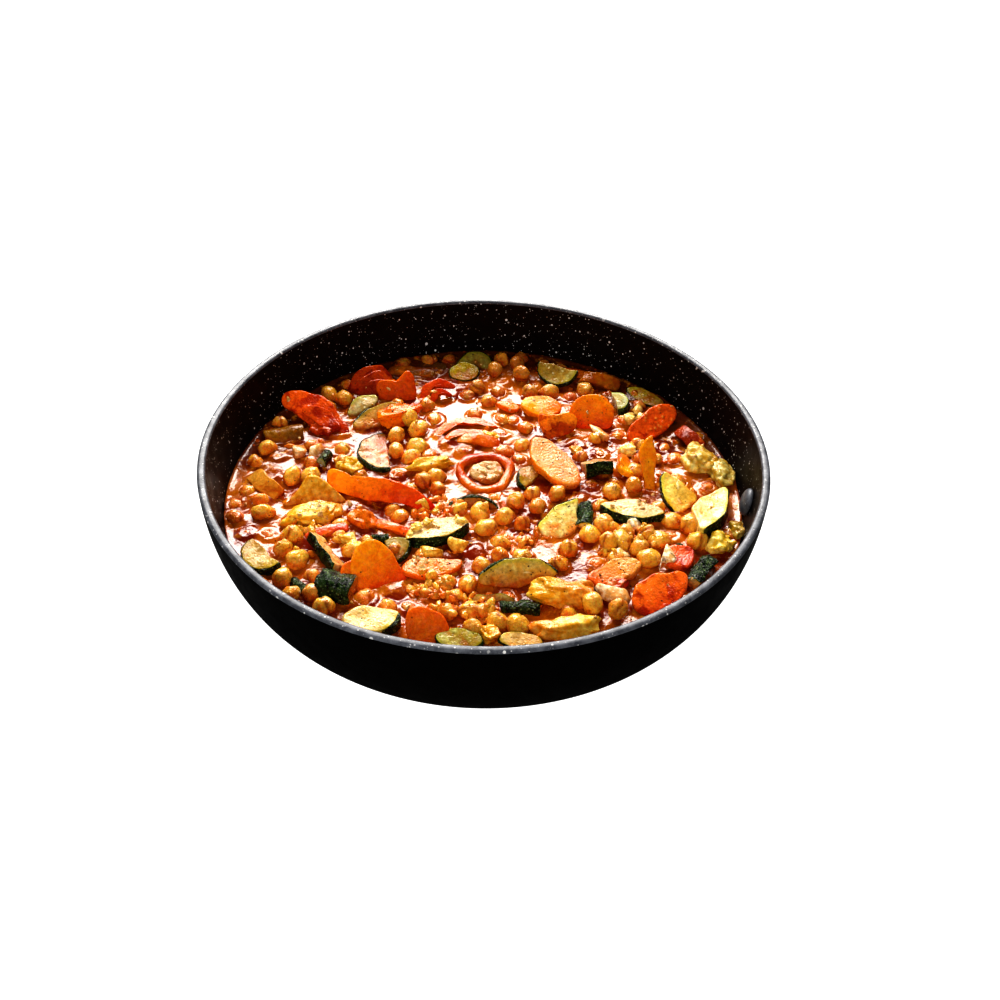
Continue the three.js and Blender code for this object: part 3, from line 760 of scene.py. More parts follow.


# Each vegetable: its name and maker; how thick, long and wide it is; its place, which is x and y
# from the pan's middle, how far it is lifted above the broth, its lean about its own X axis (far
# edge up), its roll (+X end up) and its turn about the vertical; and its tint, from the first
# colour to the second along an angle, reached at a share of the way if one is given. What else its
# maker takes is in a dict, with its looks: wave is how far it is bent and crumple how far it is
# roughened, peeled leaves its skin off, and layers piles up copies of it.
# Painted light and shade in the tints: tomato_1, tomato_2, courgette_1, courgette_4, courgette_5,
# courgette_6 and courgette_7, at the back by the pan wall, have tints darkened as painted shadow of the
# wall. Where a tint runs at an angle from -40 to -90, from a lighter colour at the raised far edge to a
# darker one at the near edge, it is partly the vegetable's own colour and partly a painted highlight on top
# and painted shade below.
VEGETABLES = [
    ("tomato_1", make_slice, (3, 35, 17), (-96, 58, 5.5, 28, 0, 0), ((244, 104, 22), (158, 42, 6), -50),
     dict(wave=1.4, outline=[(-16.9, 5.8), (-16.2, 10.7), (-12.3, 13.3), (-6, 12.8), (1.9, 11.1),
      (8.5, 7.8), (12.6, 3.5), (16, -2.1), (21.6, -9.3), (23.5, -14.1), (18.8, -16.6), (12.9, -17),
      (6.9, -12.9), (-0.2, -8.2), (-6.3, -2.9), (-12.2, 1.6)], layers=[(1, 0, 0, 0), (0.55, 5, -4, 1.8)])),
    ("tomato_2", make_strip, (2.4, 31, 15), (-67, 92, 4.5, 48, 0, 16), ((191, 75, 14), (130, 27, 4), -90),
     dict(bend=6, wave=0.8, outline=[(-15.5, -7), (-13, -1), (-8, 4.6), (-1, 7.4), (7, 7.2), (13, 3),
      (15.5, -3), (11, -6), (2, -7.4), (-8, -8)], layers=[(1, 0, 0, 0), (0.84, 1, -3, 2.4),
      (0.64, 2, -5.6, 4.4)])),
    ("pepper_1", make_strip, (4.5, 23, 18), (-50.5, 83, 6.5, 60, 0, 4), ((234, 112, 13), (187, 64, 5), -90),
     dict(bend=0.8, wave=0.3, outline=[(-10.6, -8.6), (-10.8, -2), (-10.6, 2.4), (-9.6, 3.6), (-5, 3.8),
      (-1.4, 4.2), (-0.4, 3.2), (0.8, 4.4), (3.6, 7.4), (6.4, 9.2), (8.2, 7.6), (10.2, 3), (10.8, -3),
      (10.6, -8.8)])),
    ("courgette_1", make_slice, (4.5,), (-67, 71, 3.2, 20, 0, 0), ((206, 196, 150), (150, 128, 70), -60),
     dict(hub=(3.5, -8.7, 14), outline=[(-10.4, -7.9), (-9.5, -3.2), (-6.1, 1.5), (-0.8, 4.5), (4.8, 5.3),
      (7.8, 2.3), (4, -3.7), (-2.7, -8.4), (-7.8, -10.2)])),
    ("courgette_2", make_slice, (4.5,), (-61, 57, 3.2, 30, 0, 0), ((206, 176, 110), (176, 110, 50), -60),
     dict(hub=(8.8, -12.9, 22.1), outline=[(-11.9, -6.3), (-10.5, -1.5), (-6.7, 3.6), (0, 6.7), (8.2, 8.7),
      (15, 8.8), (15.9, 4), (6.7, -3.7), (-2, -8), (-8.8, -8.4)])),
    ("tomato_3", make_chunk, (12, 27, 14), (-47, 57, 5, 0, 0, 30), ((246, 128, 10), (226, 88, 8)),
     dict(seed=35, crumple=0.9, pepper=0.2)),
    ("courgette_3", make_slice, (6, 33, 33), (-60, 28, -0.5, 4, 0, 100), ((206, 161, 118), (169, 113, 63)),
     dict(sweep=180)),
    ("pepper_2", make_strip, (4.5, 57, 14), (-54, -7, 4, 40, 0, -20),
     ((255, 154, 24), (214, 46, 4), -40, 0.9),
     dict(bend=5, wave=0.4, outline=[(-27.5, -4.6), (-29.8, 1.5), (-28.8, 5.1), (-24.5, 6.9), (-20, 5.1),
      (-15.6, 3.7), (-6.6, 5.4), (5.3, 7), (16.6, 6), (25.8, 3.3), (32.2, -0.6), (34.7, -3.7), (31, -4.6),
      (22.5, -4.1), (14.1, -3.6), (3.7, -5.4), (-6.9, -6.7), (-14.2, -5.8), (-21.3, -5.4)])),
    ("squash_1", make_slice, (7, 21, 12), (-86.5, -7, 3.6, 46, 0, 6), ((240, 190, 60), (196, 124, 30), -90),
     dict(wave=1.6, crumple=0.4, outline=[(-15, -7), (-13.5, -5), (-6, 2.4), (-2, 8.2), (1.4, 8.4),
      (4.6, 4.4), (15, -4.6), (16, -7), (4, -7.4)])),
    ("courgette_4", make_baton, (7, 20, 14), (-109, 43, 1, 0, 0, 14), ((160, 112, 30), (122, 76, 12)),
     dict(peeled=True)),
    ("pepper_3", make_strip, (4, 24, 9), (-112, -1, 2, 25, 0, -46), ((205, 151, 61), (203, 127, 32)),
     dict(bend=3)),
    ("courgette_5", make_slice, (5, 23, 23), (-7, 118, 1.5, 30, 0, 0), ((155, 149, 71), (123, 111, 51)),
     dict(sweep=180)),
    ("pepper_4", make_strip, (2.6, 20, 8), (-28.5, 84.5, 4, 34, 0, -4), ((214, 80, 20), (186, 58, 10)),
     dict(wave=0.5, outline=[(-9, -9), (-8.6, -2), (-5, 3.6), (0, 6), (6, 5.4), (11, 3.2), (10.6, 0.8),
      (5, 2), (0, 1.6), (-3.4, -1.4), (-4.6, -9)], layers=[(1, 0, 0, 0), (0.66, 2.5, -4.4, 1)])),
    ("courgette_6", make_slice, (6, 25, 25), (40, 100, 3.2, -30, 0, 155), ((183, 171, 101), (137, 108, 27)),
     dict(sweep=180)),
    ("carrot_1", make_slice, (4, 23, 14), (31, 69, 3.6, 14, 0, -8), ((252, 180, 27), (230, 127, 19))),
    ("carrot_2", make_slice, (4, 25.2, 21.6), (58.5, 61.5, 6, 42, 0, -8),
     ((255, 160, 16), (214, 70, 7), -90),
     dict(wave=0.7, pepper=0.3, outline=[(-12.6, -6), (-12.2, 2), (-8, 8.8), (-1, 10.8), (7, 9.6),
      (11.8, 5), (13.2, -2), (10.8, -9), (2, -10.2), (-7, -9.8)])),
    ("tomato_4", make_strip, (3, 27, 21), (38, 52, 2.4, 34, 0, -12), ((255, 153, 34), (203, 74, 7), -90),
     dict(bend=4, wave=1.4, outline=[(-12, 7.4), (-2, 5.6), (5, 9.4), (12, 8), (12.6, 2), (5, -6),
      (1, -9.8), (-2.4, -9), (-7.6, -2)], layers=[(1, 0, 0, 0), (0.6, -3, 1, 1.4)])),
    ("pepper_5", make_strip, (4, 24, 8), (66, 97, 3, 30, 0, -24), ((163, 89, 5), (144, 86, 10)),
     dict(bend=2.5)),
    ("courgette_7", make_slice, (8, 18, 18), (77, 75, 2.5, 6, 0, -80), ((211, 218, 180), (161, 159, 112)),
     dict(sweep=180)),
    ("tomato_5", make_slice, (4.5,), (93.5, 57, 5, -34, 0, 212), ((228, 100, 28), (214, 84, 14), 90),
     dict(hub=(0, 1.5, 14), wave=0.8, seeds=1, outline=[(22.1, 3.3), (18.4, -0.3), (12.7, -3), (5, -5.9),
      (-2.9, -7.6), (-9.7, -7.2), (-14.8, -4.7), (-15.2, -0.3), (-10.6, 4), (-3.2, 7.8), (5.2, 9.7),
      (13.8, 9.7), (19.6, 7.2)])),
    ("tomato_6", make_strip, (2.6, 22, 8), (111, 44, 3, 40, 0, -62), ((170, 64, 12), (130, 36, 6)),
     dict(bend=5)),
    ("pepper_6", make_ring, (6, 31, 31), (0, 12.5, 0.5, 6, 0, 12), ((217, 115, 24), (184, 58, 6), 90),
     dict(wall=5.6)),
    ("courgette_8", make_slice, (5, 18, 15), (1, 12.5, 1, 6, 0, 0), ((206, 174, 126), (187, 132, 57)),
     dict(crumple=0.5, peeled=True)),
    ("pepper_7", make_strip, (3, 36, 11), (-11, 53, 1.4, 8, 0, 6), ((236, 113, 23), (211, 85, 13)),
     dict(wave=0.4, outline=[(-18, -7), (-16, -2), (-9, 3.6), (1, 5.6), (12, 3), (18, -1.6), (17, -3.4),
      (11, 0), (1, 1.8), (-8, 0), (-13, -4), (-15, -8)], layers=[(1, 0, 0, 0), (0.86, 0, -8.6, 0.4)])),
    ("pepper_8", make_strip, (3, 24, 7), (-4, 40, 1, 15, 0, -12), ((225, 138, 31), (193, 76, 11)),
     dict(bend=3)),
    ("squash_2", make_chunk, (8, 27, 8), (-29, 18, 1.5, 0, 0, 16), ((224, 186, 57), (217, 164, 37)),
     dict(seed=11, crumple=0.4)),
    ("carrot_3", make_slice, (4.5, 22, 39), (35.5, 17.5, 5, 9, 0, 32),
     ((249, 149, 29), (219, 147, 71), 0, 0.5),
     dict(wave=0.6, pepper=0.5, outline=[(0, 19.5), (5, 15), (8.5, 6), (9, -6), (7.4, -15), (4.5, -19.5),
      (-1, -19.5), (-7, -14), (-10.5, -4), (-9.5, 7), (-5, 15)])),
    ("courgette_9", make_slice, (5, 19, 19), (21.5, 9.5, 1.5, 14, 0, 60), ((180, 153, 62), (167, 113, 42)),
     dict(sweep=180)),
    ("courgette_10", make_baton, (8, 15, 12), (59, 15, 3.4, 150, 0, 14), ((230, 200, 170), (206, 120, 60)),
     dict(crumple=0.7)),
    ("pepper_9", make_strip, (4, 20, 10), (73, 17, 4, 30, 0, 100), ((246, 165, 26), (200, 85, 15)),
     dict(outline=[(-9, -2.4), (-7, 4), (0, 5), (9.8, 0.8), (9.6, -0.8), (4, -4.6), (-4, -5.4)])),
    ("carrot_4", make_slice, (4, 8, 46), (85, 7, 4, 45, 0, -2), ((255, 185, 22), (191, 71, 8), -90),
     dict(sweep=180, wave=0.5, outline=[(-0.6, 22.6), (1.6, 22), (3, 12), (3.2, 0), (3.4, -22),
      (1.2, -22.6), (-1.4, -10), (-3.6, 4), (-6, 13), (-4.4, 17)])),
    ("squash_3", make_chunk, (12, 19, 22), (113, 25, 2.5, 0, 0, 20), ((217, 194, 116), (185, 145, 24)),
     dict(seed=14, crumple=0.9, crumble=0.25)),
    ("courgette_11", make_slice, (5.5,), (98, 0, 3.6, 18, 0, 0), ((240, 222, 130), (232, 194, 90)),
     dict(hub=(15.3, -1, 23.7), wave=0.8, outline=[(-5.7, 9.5), (-8.6, 3.7), (-8, -3.4), (-6, -10.3),
      (-2.7, -17), (2.2, -16), (8, -11.2), (11.2, -5.4), (5.1, -1), (0.4, 5), (-3.2, 8.4)])),
    ("courgette_12", make_slice, (8,), (115, -18, 4, -4, 0, 0), ((244, 232, 176), (236, 206, 130), 180),
     dict(hub=(-30, 11.4, 39.4), wave=0.9, outline=[(9, 17), (9.5, 10.4), (8, 1.8), (4.5, -8.1),
      (-1.3, -15.4), (-8.7, -21.8), (-10.4, -19.3), (-11.2, -11.2), (-11.8, -3.4), (-8.3, 3.9),
      (0, 11.2)])),
    ("courgette_13", make_slice, (6.2,), (75, -20, 3.1, 0, 0, 0), ((234, 208, 146), (208, 164, 100)),
     dict(hub=(2, 19.2, 26), wave=0.6, outline=[(16.3, -2.5), (8.2, -6.1), (2, -6.8), (-5.4, -5.9),
      (-11.3, -2.8), (-16.3, 0.5), (-18.3, 3.7), (-13.2, 5.2), (-6.8, 7.4), (0.9, 8.7), (8.1, 5),
      (13.9, 0.7)])),
    ("courgette_14", make_slice, (4.4,), (38, -23, 3, 16, 0, 0), ((232, 224, 150), (238, 222, 160), -60),
     dict(hub=(13.3, -15.9, 26.6), wave=0.7, outline=[(8.9, 10), (6.4, 10.2), (0.8, 7.8), (-4.9, 3.2),
      (-9.4, -2.3), (-12.1, -7.1), (-10.4, -11.4), (-2.5, -14.4), (6.8, -11.1), (8.2, -3.5)])),
    ("courgette_15", make_baton, (6, 16, 8), (51, -22, 3.5, 30, 0, 84), ((226, 190, 110), (206, 150, 80)),
     dict(crumple=0.8)),
    ("squash_4", make_chunk, (10, 15, 12), (115, -41, 2, 0, 0, 20), ((230, 208, 89), (226, 194, 62)),
     dict(seed=29, crumple=1.1, crumble=0.4)),
    ("squash_5", make_chunk, (11, 31, 15), (-85, -24, 2, 0, 0, 12), ((240, 200, 70), (222, 160, 44)),
     dict(seed=17, crumple=0.5, crumble=0.12)),
    ("tomato_7", make_chunk, (10, 18, 12), (-59.5, -27, 2, 0, 0, -28), ((213, 118, 22), (205, 99, 13)),
     dict(seed=20, crumple=0.3)),
    ("courgette_16", make_slice, (4, 32, 32), (-5, -14, -1, 62, 0, -4), ((184, 122, 71), (174, 103, 66)),
     dict(sweep=180)),
    ("courgette_17", make_slice, (6.6,), (-23, -36, 3.3, 0, 0, 0), ((236, 206, 146), (212, 164, 96)),
     dict(hub=(-7.8, 19.5, 29.5), wave=0.6, outline=[(16.7, 3.1), (12.9, -1.6), (6.8, -5.8), (-0.3, -9),
      (-7.4, -10.2), (-13.4, -9.3), (-15.5, -6.9), (-12.8, 0.1), (-7, 4.3), (1.5, 6.8), (10, 8.1),
      (14.7, 6.7)])),
    ("courgette_18", make_baton, (6, 26, 8), (-75, -54, 3.5, 134, 6, -50),
     ((232, 196, 140), (220, 170, 110)), dict(crumple=0.6)),
    ("courgette_19", make_baton, (11, 17, 17), (-67.5, -77, 4, 34, 0, -14),
     ((226, 176, 100), (200, 120, 40)), dict(crumple=0.6)),
    ("carrot_5", make_slice, (4.5, 24, 27), (-51.5, -65, 6, 42, 0, 24), ((255, 170, 20), (214, 62, 6), -75),
     dict(wave=0.5, outline=[(-11.6, -6), (-10.6, 2), (-7.4, 9), (-2, 13.2), (3.2, 13.2), (8, 9), (11, 2),
      (13, -6), (13.4, -12), (9, -13.2), (0, -11), (-8, -9.6)])),
    ("courgette_20", make_slice, (8,), (-46, -93, 3.4, 0, 0, 0), ((236, 214, 140), (228, 196, 120)),
     dict(hub=(-14.5, 5.2, 25.4), wave=0.7, outline=[(8.6, -1.1), (11, -6), (6.8, -10), (-0.7, -14.7),
      (-6.2, -13.3), (-13.2, -10.9), (-16.7, -7.1), (-13.4, -0.4), (-9.9, 2.2), (-0.9, 1.5)])),
    ("courgette_21", make_slice, (7, 24, 24), (-107, -58, 1.5, -8, 0, 130),
     ((202, 172, 78), (185, 146, 59)), dict(sweep=180)),
    ("carrot_6", make_slice, (3, 25, 15), (-25, -61, 2.8, 2, 0, 0), ((222, 150, 70), (226, 120, 26), -90),
     dict(wave=0.7, pepper=0.2, outline=[(-13.6, -1.7), (-12.1, 2.7), (-7.3, 5.5), (-0.2, 4.6), (8.1, 3.5),
      (15.2, 4.6), (15.5, 1.1), (10.9, -3.1), (2.9, -6.8), (-4.2, -7.9), (-10.4, -5.5)])),
    ("carrot_7", make_slice, (4, 21, 19), (-21, -101, 4.5, 42, 0, 10), ((252, 140, 34), (238, 104, 16)),
     dict(wave=0.6, pepper=0.1, outline=[(-13, 4.9), (-10.8, 8.6), (-6.4, 10.7), (0, 7.8), (5.7, 1.2),
      (7.4, -5.6), (7.4, -11.7), (-3.2, -9.3), (-13.1, -4.4)])),
    ("courgette_22", make_slice, (6,), (16, -65, 4, 46, 0, 4), ((216, 200, 112), (190, 116, 32), -90),
     dict(hub=(1.1, -17.5, 25.2), wave=0.7, outline=[(-18.6, -3.3), (-17, 0.6), (-13.4, 4), (-8.1, 6.1),
      (-2.2, 7.1), (3.6, 7.1), (10.6, 5.3), (16.1, 2.8), (19.8, 0.1), (18.3, -1.2), (13.8, -3.9),
      (5.5, -6.2), (-3.8, -7), (-10.8, -6.3), (-16.6, -5)])),
    ("courgette_23", make_baton, (6, 19, 8), (17, -86.5, 2, 30, 0, 2), ((226, 160, 90), (206, 120, 60)),
     dict(crumple=0.7)),
    ("squash_6", make_chunk, (13, 32, 15), (36.5, -78, 3, 0, 0, -8), ((228, 180, 60), (204, 120, 24)),
     dict(seed=23, crumple=0.6)),
    ("squash_7", make_chunk, (11, 33, 12), (37, -99, 2.5, 0, 0, 6),
     ((232, 134, 24), (242, 200, 84), 0, 0.6), dict(seed=26, crumple=0.7)),
    ("carrot_8", make_slice, (4, 28, 18), (62, -62, 4, 9, 0, 0), ((206, 110, 46), (228, 170, 84), 40),
     dict(wave=0.8, pepper=0.6, outline=[(-14.2, -4.6), (-7.2, 0.4), (-2.2, 4.2), (2.6, 6.1), (10.3, 6.3),
      (12.9, 3.8), (12.3, 0.8), (6.6, -4.7), (0.5, -8.2), (-7.1, -10.1), (-12.3, -8)])),
    ("tomato_8", make_slice, (3.4, 31, 23), (81, -77, 4, 20, 0, 0), ((250, 132, 36), (214, 66, 12), -60),
     dict(wave=1.4, outline=[(-12.8, -1), (-9.2, 4.9), (-3.7, 8.5), (2.2, 9.9), (9, 10.6), (15, 9.9),
      (14.3, 3.7), (11.9, -0.9), (7.1, -6.7), (2, -10.2), (-3.8, -12.5), (-8.7, -11.5), (-12.1, -6.1)])),
    ("tomato_9", make_slice, (4, 14.8, 16), (94, -52.5, 3.6, 6, 0, -14),
     ((196, 50, 8), (224, 96, 36), 180, 0.6),
     dict(outline=[(-6.6, -6.6), (-7, 0), (-6.4, 6.6), (0, 7), (6.6, 6.4), (7.2, 0), (6.4, -6.8),
      (0, -7.2)])),
    ("courgette_24", make_baton, (7, 20, 9), (102, -61, 3, -60, 0, 58), ((240, 206, 140), (220, 160, 90)),
     dict(crumple=0.9)),
]

# What a vegetable says about itself when its row doesn't: ground pepper, crumbs and seeds on it.
MARKS = {"pepper": 0.04, "crumble": 0.08, "seeds": 0.0}
PEELED = 0.8  # how far out a peeled piece goes of its whole vegetable, so that no skin shows


def turned(degrees, way):
    return Matrix.Rotation(math.radians(degrees), 4, way)


def placed_at(points, x, y, lift, lean, roll, turn):
    """The piece's points in the pan, from its own flat frame."""
    up = Matrix.Translation((x, y, BROTH_LEVEL + lift))
    return moved(points, up @ (turned(turn, "Z") @ turned(lean, "X") @ turned(-roll, "Y")))


def moved(points, matrix):
    return points @ np.array(matrix.to_3x3()).T + np.array(matrix.translation)


def tints(points, first, second, angle=0, knee=1.0):
    """A colour for each point, from the first to the second along the angle, reached at the knee."""
    way = math.radians(angle)
    along = points[:, 0] * math.cos(way) + points[:, 1] * math.sin(way)
    share = np.clip((along - along.min()) / max(1e-6, along.max() - along.min()) / knee, 0, 1)[:, None]
    return np.array(paint(*first)) * (1 - share) + np.array(paint(*second)) * share


def made_flat(maker, sizes, number, wave=1.3, crumple=0.0, peeled=False, layers=((1, 0, 0, 0),), **look):
    """A piece in its own flat frame, its surface and shape a little uneven.

    Layers are copies in a pile, each with its size and its shift.
    """
    if crumple and maker is make_chunk:
        look["crumple"] = crumple
    points, faces, cut = maker(*sizes, **look)
    if len(layers) > 1:
        count = len(points)
        faces = [tuple(i + n * count for i in face) for n in range(len(layers)) for face in faces]
        points = np.vstack([points * [size, size, 1] + shift for size, *shift in layers])
        cut = np.vstack([cut] * len(layers))
    if peeled:
        cut = cut * PEELED
    bent = uneven(points * [1, 1, 0.3], 9.0, number, 1) * wave
    sideways = [uneven(points, 7.0, number + k, 1) * 1.2 for k in (1, 2)]
    points = points + np.column_stack([*sideways, bent])
    if crumple and maker is not make_chunk:
        points = points + np.column_stack([uneven(points, 3.2, number + k, 2) * crumple for k in (3, 4, 5)])
    return points, faces, cut


solids = []  # every piece's points and faces, for what is laid on top of them
pieces = []  # every piece, its slot and the solids it stands for


def keep(item, slot, *nodes):
    """Notes a finished piece, its slot and the solids it stands for, and its shape."""
    pieces.append((item, slot, nodes))
    points = np.empty(len(item.data.vertices) * 3)
    item.data.vertices.foreach_get("co", points)
    solids.append((points.reshape(-1, 3), [tuple(p.vertices) for p in item.data.polygons]))


def food_so_far():
    """The points and faces of every piece but the pan and its rivet."""
    return [solid for solid, (_, slot, _) in zip(solids, pieces) if slot not in ("coating", "rivet")]


for number, (name, maker, sizes, place, tint, *look) in enumerate(VEGETABLES):
    look = dict(*look)
    marks = {mark: look.pop(mark, usual) for mark, usual in MARKS.items()}
    points, faces, cut = made_flat(maker, sizes, number, **look)
    kind = name.rsplit("_", 1)[0]
    item = mesh_object(name + "_piece", placed_at(points, *place), faces, [FLESH[kind]], cut)
    set_attribute(item, "tint", tints(points, *tint))
    for mark, value in marks.items():
        set_attribute(item, mark, value)
    keep(item, kind, name)


# ---- the pan ----
def wall_radius(z, foot_radius, top_radius, foot):
    up = np.clip((z - foot) / (PAN_HEIGHT - foot), 0, 1)
    share = (1 - (1 - up) ** WALL_CURVE) ** (1 / WALL_CURVE)
    return float(foot_radius + (top_radius - foot_radius) * share)


def outer_radius(z):
    return wall_radius(z, BASE_RADIUS, RIM_RADIUS, 0)


def inner_radius(z):
    return wall_radius(z, INNER_BASE_RADIUS, RIM_RADIUS - LIP_WIDTH, FLOOR_THICKNESS)


def lathe(profile, segments):
    """A round shape from its profile, which runs from the underside's middle, out, up and back."""
    angles = np.linspace(0, 2 * math.pi, segments, endpoint=False)
    across, along = np.cos(angles), np.sin(angles)
    rows = [np.column_stack([r * across, r * along, np.full(segments, z)]) for r, z in profile[1:-1]]
    return tube(rows, [0, 0, profile[0][1]], [0, 0, profile[-1][1]])


def climb(foot, top, steps):
    """Heights from foot to top, closer together near the foot."""
    return [foot + (top - foot) * (i / steps) ** 1.8 for i in range(steps + 1)]


def make_pan():
    """One shell: coating outside and inside, and a bare band round the lip."""
    recess = [(0, BASE_RECESS), (40, BASE_RECESS), (BASE_RECESS_RADIUS - 2, BASE_RECESS)]
    foot = [(BASE_RECESS_RADIUS, 0.2), (BASE_RECESS_RADIUS + 1.5, 0), (BASE_RADIUS - 1.5, 0)]
    lip_top = PAN_HEIGHT - LIP_ROUNDING
    outside = [(outer_radius(z), z) for z in climb(0.12, lip_top, 30)]
    profile = recess + foot + outside
    lip_start = len(profile) - 2
    sides = [(outer_radius(lip_top), -1, (25, 50, 75, 90)), (inner_radius(lip_top), 1, (90, 65, 40, 15))]
    for radius, inward, turns in sides:
        for angle in map(math.radians, turns):
            out = radius + inward * (LIP_ROUNDING * (1 - math.cos(angle)))
            profile.append((out, lip_top + LIP_ROUNDING * math.sin(angle)))
    lip_end = len(profile) - 1
    profile += [(inner_radius(z), z) for z in reversed(climb(FLOOR_THICKNESS + 0.1, lip_top, 34))]
    profile += [(radius, FLOOR_THICKNESS) for radius in (60, 25, 0)]
    segments = 192
    points, faces = lathe(profile, segments)
    rows = np.arange(len(faces)) // segments
    finish = np.where(rows < lip_start, 0, np.where(rows < lip_end, 1, 2))
    finish[rows == len(profile) - 3] = 0  # the fan in the middle of the underside
    finish[rows == len(profile) - 2] = 2  # the fan in the middle of the floor
    finish = finish.astype(np.int32)
    return mesh_object("pan_shell", points, faces, [OUTSIDE, LIP, INSIDE], face_material=finish)


def make_rivet():
    """A domed head on the inner wall, its shank through the wall and its flat end outside."""
    height, seat, edge = PAN_HEIGHT - RIVET_DROP, 0.6, 0.5
    wall = outer_radius(height) - inner_radius(height)
    tail = -wall - 0.3
    end = tail - RIVET_TAIL_HEIGHT
    profile = [(0, end), (RIVET_TAIL_RADIUS - edge, end), (RIVET_TAIL_RADIUS, end + edge)]
    profile += [(RIVET_TAIL_RADIUS, tail), (RIVET_SHANK_RADIUS, tail), (RIVET_SHANK_RADIUS, seat)]
    profile += [(RIVET_HEAD_RADIUS - 0.3, seat), (RIVET_HEAD_RADIUS, seat + 0.4)]
    for angle in map(math.radians, range(10, 100, 10)):
        dome = seat + 0.8 + (RIVET_HEAD_HEIGHT + 0.4) * math.sin(angle)
        profile.append((RIVET_HEAD_RADIUS * math.cos(angle), dome))
    profile[-1] = (0, profile[-1][1])
    points, faces = lathe(profile, 40)
    slope = math.atan2(inner_radius(height + 5) - inner_radius(height - 5), 10)
    upright = Matrix.Rotation(-math.pi / 2 + slope, 4, "Y")
    onto = turned(RIVET_ANGLE, "Z") @ Matrix.Translation((inner_radius(height), 0, height)) @ upright
    return mesh_object("rivet_head", moved(points, onto), faces, [RIVET])


keep(make_pan(), "coating", "pan")
keep(make_rivet(), "rivet", "rivet")


# ---- what lies on top: a look straight down on the pieces made so far ----
LOOK_FROM = 0.1  # metres, over everything


def tree_of(parts):
    """Everything given, ready for looking down on."""
    points, faces, start = [], [], 0
    for corners, polygons in parts:
        points += corners.tolist()
        faces += [tuple(start + i for i in face) for face in polygons]
        start += len(corners)
    return BVHTree.FromPolygons(points, faces)


def top_at(tree, x, y):
    """The height in millimetres of the first thing below (x, y), or -1 where there is none."""
    hit = tree.ray_cast(Vector((x * MM, y * MM, LOOK_FROM)), Vector((0, 0, -1)))[0]
    return hit.z / MM if hit else -1.0


# Chickpeas that stand well out of the broth: x, y, and how far they are lifted above its level.
CHICKPEAS = [
    (-89, 80, 2), (-80, 77, 2), (-99, 6, 2), (-90, 7, 2), (-42, 55, 6), (-48, 41, 4), (-47, 28, 3),
    (-37, 32, 2), (-37, 48, 3), (9, 119, 2), (5, 108, 3), (18, 115, 3), (20, 102, 5), (-5, 91, 2),
    (7, 88, 0), (2, 77, 0), (-11, 83, 0), (25, 86, 2), (36, 86, 2), (57, 88, 3), (9, 61, -1),
    (15, 60, -1), (22, 54, 0), (-28, 60, -1), (-35, 34, 1), (-30, 27, 0), (-39, 24, 1), (-32, 5, 2),
    (-24, -1, 1), (-25, 8, 2), (37, -5, 3), (78, 15, 3), (77, 2, 4), (65, -3, 4), (-110, -22, 1),
    (-93, -39, 2), (-96, -49, 1), (-88, -57, 3), (-93, -70, 3), (-78, -79, 3), (-42, -23, 1),
    (-46, -18, 0), (-72, -87, 2), (-13, -18, 1), (-2, -20, 2), (10, -23, 2), (19, -27, 1), (1, -32, 2),
    (16, -10, 2), (27, -14, 2), (8, -50, 1), (-1, -58, 1), (-7, -70, 1), (41, -46, 2), (-16, -90, 2),
    (-5, -88, 1), (1, -88, 2), (7, -96, 3), (16, -98, 4), (-4, -100, 3), (52, -35, 2), (59, -28, 3),
    (61, -42, 4), (67, -40, 3), (69, -34, 3), (80, -35, 3), (85, -39, 3), (75, -46, 4), (79, -53, 4),
    (102, -27, 3), (104, -39, 2), (50, -86, 6), (61, -90, 7),
]
# Open broth: x, y and the two half widths of each pool.
POOLS = [
    (-4, 70, 27, 18), (-101, 21, 15, 11), (-86, -12, 14, 5), (-60, 42, 14, 6), (0, 30, 10, 6),
    (44, -62, 9, 8), (30, -45, 8, 6), (-50, -40, 8, 4),
]
# Where no more chickpeas show, though it is no open broth.
BARE = [(-34, 100, 36, 17), (104, 62, 22, 16)]


def within(zones, x, y):
    return any(((x - px) / a) ** 2 + ((y - py) / b) ** 2 < 1 for px, py, a, b in zones)


PEA_REACH = 126  # how far from the pan's middle the sunk chickpeas go
TRIES = 9000
CLEARANCE = 3  # how far below the broth's level anything under a sunk chickpea has to be
PEA_FOOT = 3.4  # how far round its middle that is looked at
SETTLED = 0.8  # how far the chickpeas that stand out have settled below their given place
SUNK = (-4.4, 0.9)  # how far a sunk chickpea's middle is from the broth's level
GIRTHS = (0.88, 1.04)  # the sizes of sunk chickpeas beside the others
IN_POOL = 0.97  # the share of sunk chickpeas that a pool turns away


def somewhere(dice, reach):
    """A random place within this reach of the middle."""
    angle, radius = dice.uniform(0, 2 * math.pi), reach * math.sqrt(dice.random())
    return radius * math.cos(angle), radius * math.sin(angle)


def room(dice):
    """How far apart two chickpeas have to be: most keep clear, and some press together."""
    return 10.4 if dice.random() < 0.7 else 8.8


def chickpea_points():
    """Where each chickpea lies: the ones that stand out, then sunk ones in the room that is left."""
    dice = random.Random(7)
    vegetables = tree_of(food_so_far())
    turns = np.arange(6) * math.pi / 3
    around = [(0, 0)] + [(PEA_FOOT * math.cos(turn), PEA_FOOT * math.sin(turn)) for turn in turns]
    spots = [(x, y, BROTH_LEVEL + lift - SETTLED, 1.0) for x, y, lift in CHICKPEAS]
    for _ in range(TRIES):
        x, y = somewhere(dice, PEA_REACH)
        if within(BARE, x, y) or (within(POOLS, x, y) and dice.random() < IN_POOL):
            continue
        if any((x - a) ** 2 + (y - b) ** 2 < room(dice) ** 2 for a, b, *_ in spots):
            continue
        if max(top_at(vegetables, x + u, y + v) for u, v in around) > BROTH_LEVEL - CLEARANCE:
            continue
        spots.append((x, y, BROTH_LEVEL + dice.uniform(*SUNK), dice.uniform(*GIRTHS)))
    return spots


